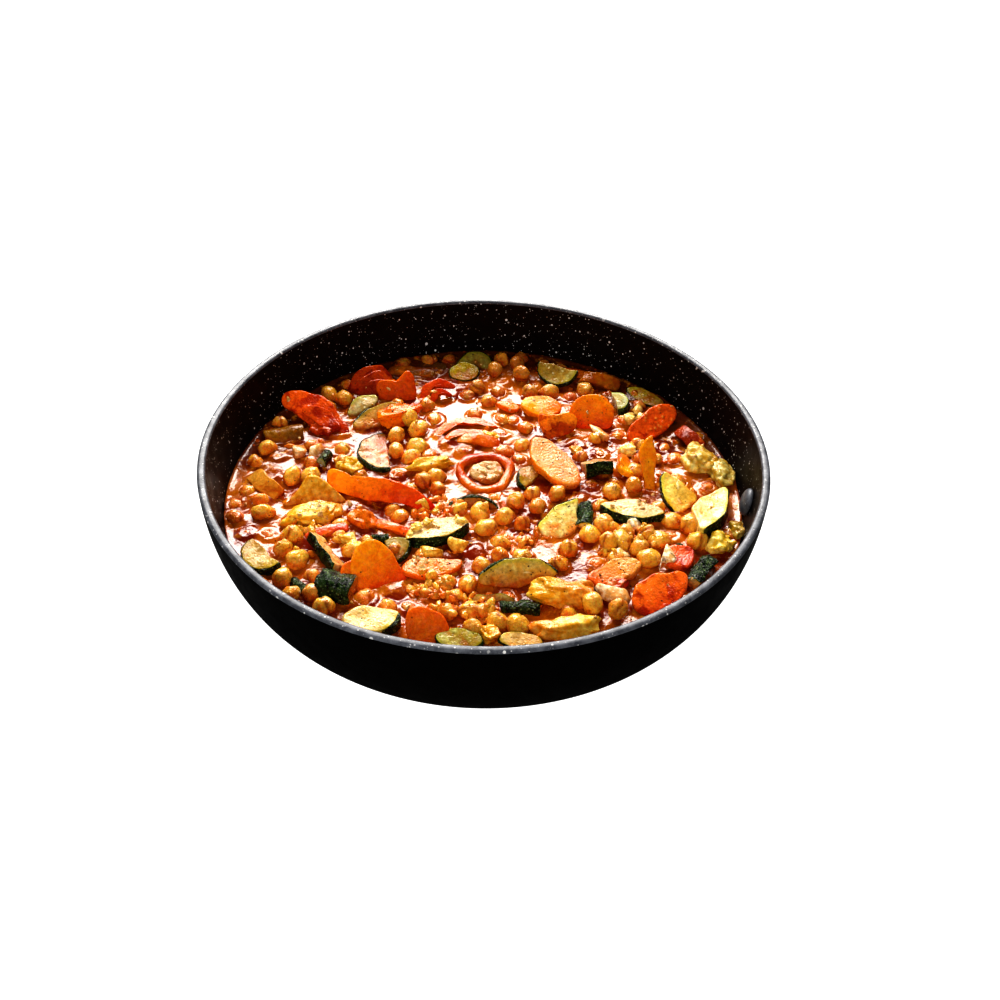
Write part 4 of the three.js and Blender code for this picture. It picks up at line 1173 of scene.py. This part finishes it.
def chickpea_form(seed):
    """A cooked chickpea of radius 1: plump halves with a seam, a beak at one end, wrinkled skin."""
    directions, faces = cube_ball(8)
    x, y, _ = directions.T
    bend = y + 0.12 * np.sin(3 * x + seed)
    seam = np.exp(-(bend / 0.13) ** 2) * np.clip(x + 0.35 + 0.3 * (seed % 2), 0, 1)
    reach = 1 + 0.15 * np.exp(-((1 - x) / 0.12)) - 0.11 * seam
    wrinkle = np.abs(uneven(directions, 0.55, seed + 30, 2))
    reach = reach + 0.15 * uneven(directions, 0.9, seed, 2) - 0.05 * np.clip(0.12 - wrinkle, 0, 1) / 0.12
    return directions * reach[:, None] * [1.06, 0.98, 0.9], faces, seam


def lump_form(seed, steps, rough, grain, shape):
    """A small uneven lump."""
    directions, faces = cube_ball(steps)
    return directions * (1 + rough * uneven(directions, grain, seed, 2))[:, None] * shape, faces


WHOLE_TURN = 6.283  # radians


def scatter_tree(name, forms):
    """Lays one of the forms on every point, turned and sized at random, as one plain mesh."""
    takes = [("Geometry", GEOMETRY), ("Smallest mm", FLOAT), ("Largest mm", FLOAT)]
    takes += [("Seed", "NodeSocketInt"), ("Finish", "NodeSocketMaterial")]
    tree, takes, gives = new_group(name, takes, [("Geometry", GEOMETRY)], "GeometryNodeTree")

    def chance(kind, number, low, high):
        """A random value for each point; the node has a numbered pair of limits for each kind."""
        limits = {f"i{2 * number}": low, f"i{2 * number + 1}": high}
        return add("FunctionNodeRandomValue", {"data_type": kind}, Seed=takes["Seed"], **limits)[number]

    joined = tree.nodes.new("GeometryNodeJoinGeometry")
    for form in forms:
        settings = {"transform_space": "ORIGINAL"}
        info = add("GeometryNodeObjectInfo", settings, tree, As_Instance=True, Object=form)
        link(info["Geometry"], joined.inputs[0])
    girth = add("GeometryNodeInputNamedAttribute", {"data_type": "FLOAT"}, tree, Name="girth")[0]
    size = chance("FLOAT", 1, takes["Smallest mm"], takes["Largest mm"]) * girth * MM
    turns = chance("FLOAT_VECTOR", 0, (0, 0, 0), (WHOLE_TURN, WHOLE_TURN, WHOLE_TURN))
    laid = add(
        "GeometryNodeInstanceOnPoints", Points=takes["Geometry"], Instance=Value(joined.outputs[0]),
        Pick_Instance=True, Instance_Index=chance("INT", 2, 0, len(forms) - 1),
        Rotation=add("FunctionNodeEulerToRotation", Euler=turns)[0], Scale=size,
    )
    each = {"data_type": "FLOAT", "domain": "INSTANCE"}
    shades = {"Name": "shade", "Value": chance("FLOAT", 1, 0.0, 1.0)}
    stored = add("GeometryNodeStoreNamedAttribute", each, Geometry=laid[0], **shades)
    real = add("GeometryNodeRealizeInstances", Geometry=stored[0])
    link(add("GeometryNodeSetMaterial", Geometry=real[0], Material=takes["Finish"])[0], gives[0])
    return tree


def scattered(name, spots, forms, material, smallest, largest, seed):
    """Lays the forms on spots of (x, y, z, girth). Returns the finished plain object."""
    samples = []
    for number, (points, faces, *seam) in enumerate(forms):
        samples.append(mesh_object(f"{name}_form_{number}", np.array(points) / MM, faces, []))
        set_attribute(samples[-1], "seam", seam[0] if seam else 0.0)
    points = np.array(spots)
    base = mesh_object(name + "_points", points[:, :3], [], [])
    set_attribute(base, "girth", points[:, 3])
    lay = base.modifiers.new("lay", "NODES")
    lay.node_group = scatter_tree(name + "_lay", samples)
    values = {"Smallest mm": smallest, "Largest mm": largest, "Seed": seed, "Finish": material}
    for item in lay.node_group.interface.items_tree:
        if item.in_out == "INPUT" and item.name in values:
            lay[item.identifier] = values[item.name]
    base.update_tag()
    bpy.context.view_layer.update()
    finished = base.evaluated_get(bpy.context.evaluated_depsgraph_get())
    mesh = bpy.data.meshes.new_from_object(finished)
    mesh.name = name
    mesh.polygons.foreach_set("use_smooth", [True] * len(mesh.polygons))
    item = new_object(name, mesh)
    for spare in (base, *samples):
        bpy.data.objects.remove(spare)
    return item


peas = [chickpea_form(seed) for seed in range(7)]
peas = scattered("chickpeas", chickpea_points(), peas, CHICKPEA, smallest=4.6, largest=5.7, seed=3)
keep(peas, "stew", "stew")

# ---- small cut pieces, joined by kind; the same rows as for the vegetables ----
SMALL = [
    ("courgette", make_slice, (4, 18, 15), (-13, 105, 1.5, 16, 0, 5), ((176, 166, 19), (148, 116, 9))),
    ("pepper", make_strip, (2.5, 28, 7), (-44, 106, 0.6, 14, 0, -6), ((146, 83, 4), (122, 73, 4)),
     dict(bend=1)),
    ("pepper", make_strip, (2.5, 22, 6), (-34, 113, 0.4, 20, 0, -12), ((92, 48, 9), (83, 51, 8)),
     dict(bend=1)),
    ("tomato", make_flap, (4, 16, 9), (52, 107, 0.6, 10, 0, -14), ((204, 92, 6), (169, 97, 5))),
    ("garlic", make_chip, (5, 9, 6), (84, 66, 5, 30, 0, 70), ((246, 226, 150), (236, 206, 120)),
     dict(seed=90)),
    ("garlic", make_chip, (4, 7, 5), (86, 58, 5.5, 10, 0, -20), ((250, 236, 170), (236, 206, 120)),
     dict(seed=91)),
    ("carrot", make_slice, (3.5, 16, 20), (-58, -71, 3, 40, 0, 30), ((236, 126, 30), (203, 85, 13))),
    ("carrot", make_slice, (3, 8, 14), (12.5, 71, 2, 10, 0, 80), ((245, 135, 5), (217, 120, 8))),
    ("courgette", make_baton, (5, 9, 6), (-84, 20, 4, 20, 0, 70), ((149, 158, 124), (127, 137, 97))),
    ("garlic", make_chip, (6, 14, 8), (-89, 27, 3, 10, 0, 50), ((250, 230, 190), (240, 200, 140)),
     dict(seed=71)),
    ("squash", make_chunk, (8, 15, 10), (-70, 13, 3.5, 0, 0, -30), ((207, 164, 13), (201, 163, 25)),
     dict(seed=40)),
    ("squash", make_chunk, (7, 11, 8), (77, 33, 2, 0, 0, 20), ((255, 226, 150), (250, 206, 120)),
     dict(seed=41)),
    ("squash", make_chunk, (10, 14, 22), (124, 14, 1.5, 0, 0, 10), ((176, 158, 83), (194, 174, 101)),
     dict(seed=42)),
    ("garlic", make_chip, (6, 9, 10), (-99, 27, 2, 0, 0, 20), ((226, 190, 140), (220, 160, 100)),
     dict(seed=72)),
    ("garlic", make_chip, (6, 10, 14), (81, 61, 3.5, 0, 0, -10), ((240, 222, 150), (230, 200, 110)),
     dict(seed=73)),
    ("garlic", make_chip, (5, 14, 9), (62, 46, 4, 14, 0, -16), ((250, 222, 170), (240, 170, 110)),
     dict(seed=74)),
    ("garlic", make_chip, (6, 24, 8), (60, -78, 4, 6, 0, -16), ((250, 228, 190), (240, 194, 138)),
     dict(seed=75)),
    ("squash", make_chunk, (7, 12, 8), (62, -72, 2, 0, 0, 10), ((194, 88, 3), (182, 43, 3)), dict(seed=45)),
    ("garlic", make_chip, (4, 10, 5), (66, -50, 4, 10, 0, -24), ((255, 248, 220), (252, 224, 176)),
     dict(seed=76)),
    ("garlic", make_chip, (6, 8, 7), (75, -29, 4, 0, 0, 30), ((255, 250, 226), (250, 232, 190)),
     dict(seed=77)),
    ("garlic", make_chip, (5, 8, 14), (87, -52, 5, 10, 0, 16), ((255, 248, 222), (252, 230, 190)),
     dict(seed=78)),
    ("courgette", make_baton, (5, 9, 6), (-50, -41, 2, 10, 0, 10), ((214, 190, 120), (206, 170, 100))),
    ("courgette", make_slice, (5, 16, 20), (-40, -47, 2, 20, 0, -60), ((183, 166, 104), (140, 111, 43)),
     dict(sweep=180)),
    ("squash", make_chunk, (6, 9, 8), (-66, -41, 2, 0, 0, -20), ((226, 186, 80), (214, 170, 70)),
     dict(seed=47)),
    ("squash", make_chunk, (6, 8, 9), (-61, -48, 2.5, 0, 0, 30), ((227, 195, 97), (234, 207, 65)),
     dict(seed=48)),
    ("pepper", make_strip, (3, 24, 6), (-44, -33, 1.5, 16, 0, -24), ((232, 127, 31), (218, 80, 13))),
    ("pepper", make_strip, (3, 22, 5), (-76, -36, 1.5, 10, 0, 24), ((214, 96, 50), (196, 70, 30))),
    ("squash", make_chunk, (4, 6, 5), (-32.7, -37.4, 7.2, 0, 0, 20), ((248, 232, 164), (240, 218, 130)),
     dict(seed=61)),
    ("squash", make_chunk, (3.4, 5, 4), (-27.2, -33.8, 7.2, 0, 0, -30), ((250, 236, 170), (240, 218, 130)),
     dict(seed=62)),
    ("squash", make_chunk, (3, 6, 4), (-11.7, -31.3, 6.8, 0, 0, -14), ((244, 226, 150), (236, 200, 96)),
     dict(seed=63)),
    ("squash", make_chunk, (3, 4, 3.4), (-35.4, -41.6, 6.6, 0, 0, 10), ((248, 230, 160), (240, 210, 120)),
     dict(seed=64)),
    ("garlic", make_chip, (8, 12, 9), (-25, -50.5, 4, 20, 0, 0), ((244, 206, 96), (240, 190, 80)),
     dict(seed=79)),
    ("garlic", make_chip, (7, 11, 8), (-12, -46, 3.6, 20, 0, -40), ((244, 206, 96), (240, 180, 70)),
     dict(seed=80)),
    ("courgette", make_baton, (5, 10, 6), (-85, -74, 2, 10, 0, -50), ((226, 200, 140), (206, 170, 100))),
    ("courgette", make_slice, (3, 22, 8), (4, -79, 1, 40, 0, 0), ((226, 206, 130), (180, 150, 80)),
     dict(sweep=180)),
    ("courgette", make_slice, (4, 22, 12), (-10, -107, 2, 10, 0, -10), ((206, 202, 120), (160, 146, 62))),
    ("courgette", make_slice, (4, 20, 10), (17, -108, 2.5, 10, 0, -6), ((238, 210, 146), (210, 160, 88))),
    ("squash", make_chunk, (7, 9, 10), (3, -104, 3, 0, 0, 30), ((229, 173, 17), (237, 152, 11)),
     dict(seed=51)),
    ("squash", make_chunk, (4, 10, 4), (3, 45, 2, 0, 0, -30), ((232, 200, 60), (226, 180, 50)),
     dict(seed=52)),
    ("squash", make_chunk, (4, 9, 5), (49, 31, 2.5, 0, 0, -50), ((225, 167, 79), (216, 168, 82)),
     dict(seed=53)),
    ("courgette", make_slice, (4, 26, 10), (91, 84, 0.5, 10, 0, -40), ((183, 177, 64), (153, 129, 36))),
    ("tomato", make_chunk, (8, 16, 12), (-88, 50, 0.5, 0, 0, -20), ((178, 62, 8), (176, 71, 16)),
     dict(seed=54)),
    ("courgette", make_baton, (4, 7, 5), (94, -46, 2.5, 10, 0, 60), ((226, 210, 130), (210, 190, 110))),
    ("squash", make_chunk, (7, 8, 12), (125, -30, 1.5, 0, 0, 10), ((178, 154, 60), (153, 121, 63)),
     dict(seed=55)),
]

FIRST_SMALL_NUMBER = 200  # the small pieces are numbered from here, so that none repeats a big one
SMALL_WAVE = 0.6


def join_small():
    """Makes the small pieces, one object for each kind."""
    kinds = {}
    for number, (kind, maker, sizes, place, tint, *look) in enumerate(SMALL):
        number, look = number + FIRST_SMALL_NUMBER, dict(*look)
        points, faces, cut = made_flat(maker, sizes, number, SMALL_WAVE, **look)
        kinds.setdefault(kind, []).append((placed_at(points, *place), faces, cut, tints(points, *tint)))
    for kind, parts in kinds.items():
        faces, start = [], 0
        for points, polygons, *_ in parts:
            faces += [tuple(start + i for i in face) for face in polygons]
            start += len(points)
        points, _, cut, colours = zip(*parts)
        material = FLESH.get(kind, PALE)
        item = mesh_object("small_" + kind, np.vstack(points), faces, [material], np.vstack(cut))
        set_attribute(item, "tint", np.vstack(colours))
        set_attribute(item, "pepper", MARKS["pepper"])
        set_attribute(item, "crumble", 0.15)
        keep(item, kind if kind in FLESH else "stew")


join_small()

# ---- the broth ----
GRID = 0.5  # millimetres between the samples of the map of what stands in the broth
MAP_REACH = RIM_RADIUS  # how far the map goes from the pan's middle
NEAR_LEVEL = 1.6  # how near the broth's level a point has to be to count as standing in it
WALL_GAP = 0.1  # how far the broth stays off the pan
PIECE_CLIMB = 1.05  # how far the broth climbs up what stands in it
WALL_CLIMB = 1.1  # how far it climbs up the pan
CLIMB_WIDTH = 1.6  # how fast that dies away from the pan
WAVES = (0.35, 0.8)  # the size of its waves in the open, and how much more there is between pieces
RIPPLES = (0.02, 0.27)  # the same for its ripples
POOL_CALM = 0.85  # the share of both that a pool takes away
BROTH_FLOOR = 5.3  # how high the broth's underside is, just above the pan's floor


def standing_map():
    """Where a piece stands in the broth's surface, 1 there and 0 elsewhere."""
    size = int(2 * MAP_REACH / GRID)
    taken = np.zeros((size, size))
    for points, faces in food_so_far():
        corners = points / MM
        middles = np.array([corners[list(face)].mean(axis=0) for face in faces])
        both = np.vstack([corners, middles])
        near = both[np.abs(both[:, 2] - BROTH_LEVEL) < NEAR_LEVEL]
        i, j = np.clip(((near[:, :2] + MAP_REACH) / GRID).astype(int), 0, size - 1).T
        taken[i, j] = 1
    return taken


def blurred(values, reach):
    """Spreads a map by a soft round brush of this reach in millimetres."""
    waves = np.fft.fftfreq(values.shape[0], GRID)
    soften = np.exp(-2 * (math.pi * reach) ** 2 * (waves[:, None] ** 2 + waves[None, :] ** 2))
    return np.real(np.fft.ifft2(np.fft.fft2(values) * soften))


def sample(values, x, y):
    """The map's values at these places, blended between its samples."""
    spots = [(place + MAP_REACH) / GRID - 0.5 for place in (x, y)]
    i, j = (np.clip(np.floor(spot).astype(int), 0, values.shape[0] - 2) for spot in spots)
    a, b = np.clip(spots[0] - i, 0, 1), np.clip(spots[1] - j, 0, 1)
    near = values[i, j] * (1 - a) * (1 - b) + values[i + 1, j] * a * (1 - b)
    return near + values[i, j + 1] * (1 - a) * b + values[i + 1, j + 1] * a * b


def make_broth():
    """The broth's body: a rippled top that climbs a little up all that stands in it."""
    steps = 224
    line = np.linspace(-1, 1, steps + 1)
    a, b = np.meshgrid(line, line, indexing="ij")
    wide = np.abs(a) > np.abs(b)
    with np.errstate(divide="ignore", invalid="ignore"):
        radius = np.where(wide, a, b)
        angle = np.where(wide, math.pi / 4 * b / a, math.pi / 2 - math.pi / 4 * a / b)
    angle[np.isnan(angle)] = 0
    reach = inner_radius(BROTH_LEVEL) - WALL_GAP
    x, y = (reach * radius * np.cos(angle)).ravel(), (reach * radius * np.sin(angle)).ravel()
    taken = standing_map()
    close, crowd = blurred(taken, 0.9), blurred(taken, 4.0)
    flat = np.column_stack([x, y, np.zeros_like(x)])
    busy = np.clip(sample(crowd, x, y) * 4, 0, 1)
    waves, ripples = uneven(flat, 13.0, 1, 2), uneven(flat, 4.0, 2, 2)
    z = BROTH_LEVEL + waves * (WAVES[0] + WAVES[1] * busy) + ripples * (RIPPLES[0] + RIPPLES[1] * busy)
    pools = sum(np.exp(-2 * (((x - px) / a) ** 2 + ((y - py) / b) ** 2) ** 2) for px, py, a, b in POOLS)
    z = BROTH_LEVEL + (z - BROTH_LEVEL) * (1 - POOL_CALM * np.clip(pools, 0, 1))
    z = z + PIECE_CLIMB * np.clip(sample(close, x, y) * 2.2, 0, 1)
    z = z + WALL_CLIMB * np.exp(-(reach - np.hypot(x, y)) / CLIMB_WIDTH)
    top = np.column_stack([x, y, z])
    row = steps + 1
    corners = [i * row + j for i in range(steps) for j in range(steps)]
    faces = [(first, first + row, first + row + 1, first + 1) for first in corners]
    rim = [i * row for i in range(steps)] + [steps * row + j for j in range(steps)]
    rim += [(steps - i) * row + steps for i in range(steps)] + [steps - j for j in range(steps)]
    points, ring, start, count = [top], rim, len(top), len(rim)
    turn = np.arctan2(top[rim, 1], top[rim, 0])
    for height in (36, 28, 18, 10, BROTH_FLOOR):
        out = inner_radius(height) - WALL_GAP
        points.append(np.column_stack([out * np.cos(turn), out * np.sin(turn), np.full(count, height)]))
        new = list(range(start, start + count))
        faces += [(ring[i], new[i], new[(i + 1) % count], ring[(i + 1) % count]) for i in range(count)]
        ring, start = new, start + count
    points = np.vstack([*points, [[0, 0, BROTH_FLOOR]]])
    faces += [(ring[i], start, ring[(i + 1) % count]) for i in range(count)]
    item = mesh_object("broth", points, faces, [BROTH])
    px, py, a, b = POOLS[0]
    calm = 1.9 - ((points[:, 0] - px) / a) ** 2 - ((points[:, 1] - py) / b) ** 2
    set_attribute(item, "calm", np.clip(calm, 0, 1))
    return item


keep(make_broth(), "stew", "stew")

# ---- crumbs and ground pepper ----
everything = tree_of(food_so_far())
CRUMB_REACH = 127  # no crumb lies farther out than this
MASH_HEIGHT = 5  # no mashed chickpea lies this far above the broth
ALL_OVER = [(0, 0, 126)]
# Where mashed chickpea, garlic and ground pepper lie thickest: x, y and reach of each place.
MASH = [
    (22, -46, 15), (-8, -86, 15), (-22, -20, 12), (-24, -72, 9), (0, 0, 118), (70, -42, 14),
    (-86, -40, 14),
]
GARLIC = [
    (-30, -34, 9), (-22, -33, 8), (72, -16, 9), (70, -8, 6), (-30, -60, 7), (113, 28, 8), (-81, -23, 6),
    (2, 11, 6),
]
SPECKS = [
    (36, 20, 14), (62, -62, 11), (59, 62, 9), (42, -24, 12), (-20, -34, 14), (16, -66, 14), (-46, 57, 8),
    (-24, -61, 10),
]


def crumbs(count, seed, zones, sink):
    """Spots on whatever is on top, inside one of the zones, sunk in a little."""
    dice = random.Random(seed)
    found = []
    for _ in range(count):
        cx, cy, reach = dice.choice(zones)
        dx, dy = somewhere(dice, reach)
        x, y = cx + dx, cy + dy
        if math.hypot(x, y) > CRUMB_REACH:
            continue
        height = top_at(everything, x, y)
        if height > 0:
            found.append((x, y, height - sink, dice.uniform(0.6, 1.3)))
    return found


mash = [
    (x, y, z, girth) for x, y, z, girth in crumbs(330, 11, MASH, sink=0.9)
    if not within(POOLS, x, y) and z < BROTH_LEVEL + MASH_HEIGHT
]
torn = [lump_form(seed, 5, 0.45, 1.1, [1.15, 0.85, 0.5]) for seed in range(20, 26)]
mash = scattered("mashed_chickpea", mash, torn, CHICKPEA, smallest=1.3, largest=3.4, seed=5)
keep(mash, "stew")
chips = [make_chip(1.4, 2.2, 1.7, seed)[:2] for seed in range(40, 45)]
garlic = crumbs(74, 12, GARLIC, sink=0.2) + crumbs(60, 13, ALL_OVER, sink=0.3)
garlic = scattered("garlic_crumbs", garlic, chips, PALE, smallest=0.7, largest=1.7, seed=6)
set_attribute(garlic, "tint", np.tile(paint(230, 204, 150), (len(garlic.data.vertices), 1)))
keep(garlic, "stew")
grits = [lump_form(seed, 2, 0.7, 0.8, [1.1, 0.9, 0.75]) for seed in range(60, 64)]
specks = crumbs(260, 14, SPECKS, sink=0.0) + crumbs(260, 15, ALL_OVER, sink=0.0)
specks = scattered("pepper_specks", specks, grits, SPECK, smallest=0.2, largest=0.42, seed=7)
keep(specks, "stew")

# ---- the stage: floor, light and camera ----
FLOOR_REACH = 3000
corners = [(x * FLOOR_REACH, y * FLOOR_REACH, 0) for x, y in ((-1, -1), (1, -1), (1, 1), (-1, 1))]
floor = mesh_object("floor", corners, [(0, 1, 2, 3)], [floor_finish()])

scene = bpy.context.scene
scene.world = bpy.data.worlds.new("studio")
scene.world.use_nodes = True
nodes = scene.world.node_tree
sky = nodes.nodes["Background"].inputs
sky["Color"].default_value = (1.0, 0.99, 0.98, 1)
# The sky lights the stew more than it shows in its shine.
shiny = add("ShaderNodeLightPath", tree=nodes)["Is Glossy Ray"]
link(rise(shiny, 0.0, 1.0, 0.12, 0.05), sky["Strength"])


def toward(azimuth, elevation, distance):
    """A place seen from the pan in this direction; azimuth 0 is straight behind it."""
    a, e = math.radians(azimuth), math.radians(elevation)
    across, up = distance * math.cos(e), distance * math.sin(e)
    return across * math.sin(a), across * math.cos(a), up


def soft_light(name, place, width, height, radiance, lights, shows, colour=(1, 1, 1)):
    """A soft box that faces the pan; it may light the pieces, show in their shine, or both."""
    data = bpy.data.lights.new(name, "AREA")
    data.shape, data.size, data.size_y, data.color = "RECTANGLE", width, height, colour
    data.energy = radiance * math.pi * width * height
    item = new_object(name, data)
    item.location = toward(*place)
    item.rotation_euler = (-item.location).to_track_quat("-Z", "Y").to_euler()
    item.visible_camera = False
    item.visible_diffuse, item.visible_glossy = lights, shows


soft_light("window_behind", (-4, 41, 1.3), 1.0, 0.72, 13.0, True, False, (1.0, 0.975, 0.935))
soft_light("window_shine", (-5, 37, 1.3), 1.0, 0.58, 12.5, False, True, (1.0, 0.965, 0.92))
soft_light("fill_in_front", (194, 38, 0.66), 0.5, 0.36, 3.6, True, False)

scene.view_settings.view_transform = "Standard"
scene.view_settings.look = "High Contrast"

CAMERA_DISTANCE, CAMERA_ELEVATION = 0.560, 37.085
AIM_YAW, AIM_PITCH, AIM_ROLL = 1.047, 40.044, 1.644
camera_data = bpy.data.cameras.new("camera")
camera_data.lens, camera_data.sensor_width = 40.57, 36
camera = new_object("camera", camera_data)
climb_angle = math.radians(CAMERA_ELEVATION)
back, up = CAMERA_DISTANCE * math.cos(climb_angle), CAMERA_DISTANCE * math.sin(climb_angle)
stand = Vector((0, -back, PAN_HEIGHT * MM + up))
yaw, pitch, roll = (math.radians(v) for v in (AIM_YAW, AIM_PITCH, AIM_ROLL))
ahead = Vector((math.sin(yaw) * math.cos(pitch), math.cos(yaw) * math.cos(pitch), -math.sin(pitch)))
side = ahead.cross(Vector((0, 0, 1))).normalized()
head = side.cross(ahead)
right = math.cos(roll) * side + math.sin(roll) * head
above = -math.sin(roll) * side + math.cos(roll) * head
rows = [(right[i], above[i], -ahead[i], stand[i]) for i in range(3)]
camera.matrix_world = Matrix((*rows, (0, 0, 0, 1)))
scene.camera = camera

# ---- every piece under one root, and the solids it stands for hidden ----
for item, slot, nodes in pieces:
    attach(item, "root")
    if nodes:
        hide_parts(*nodes)
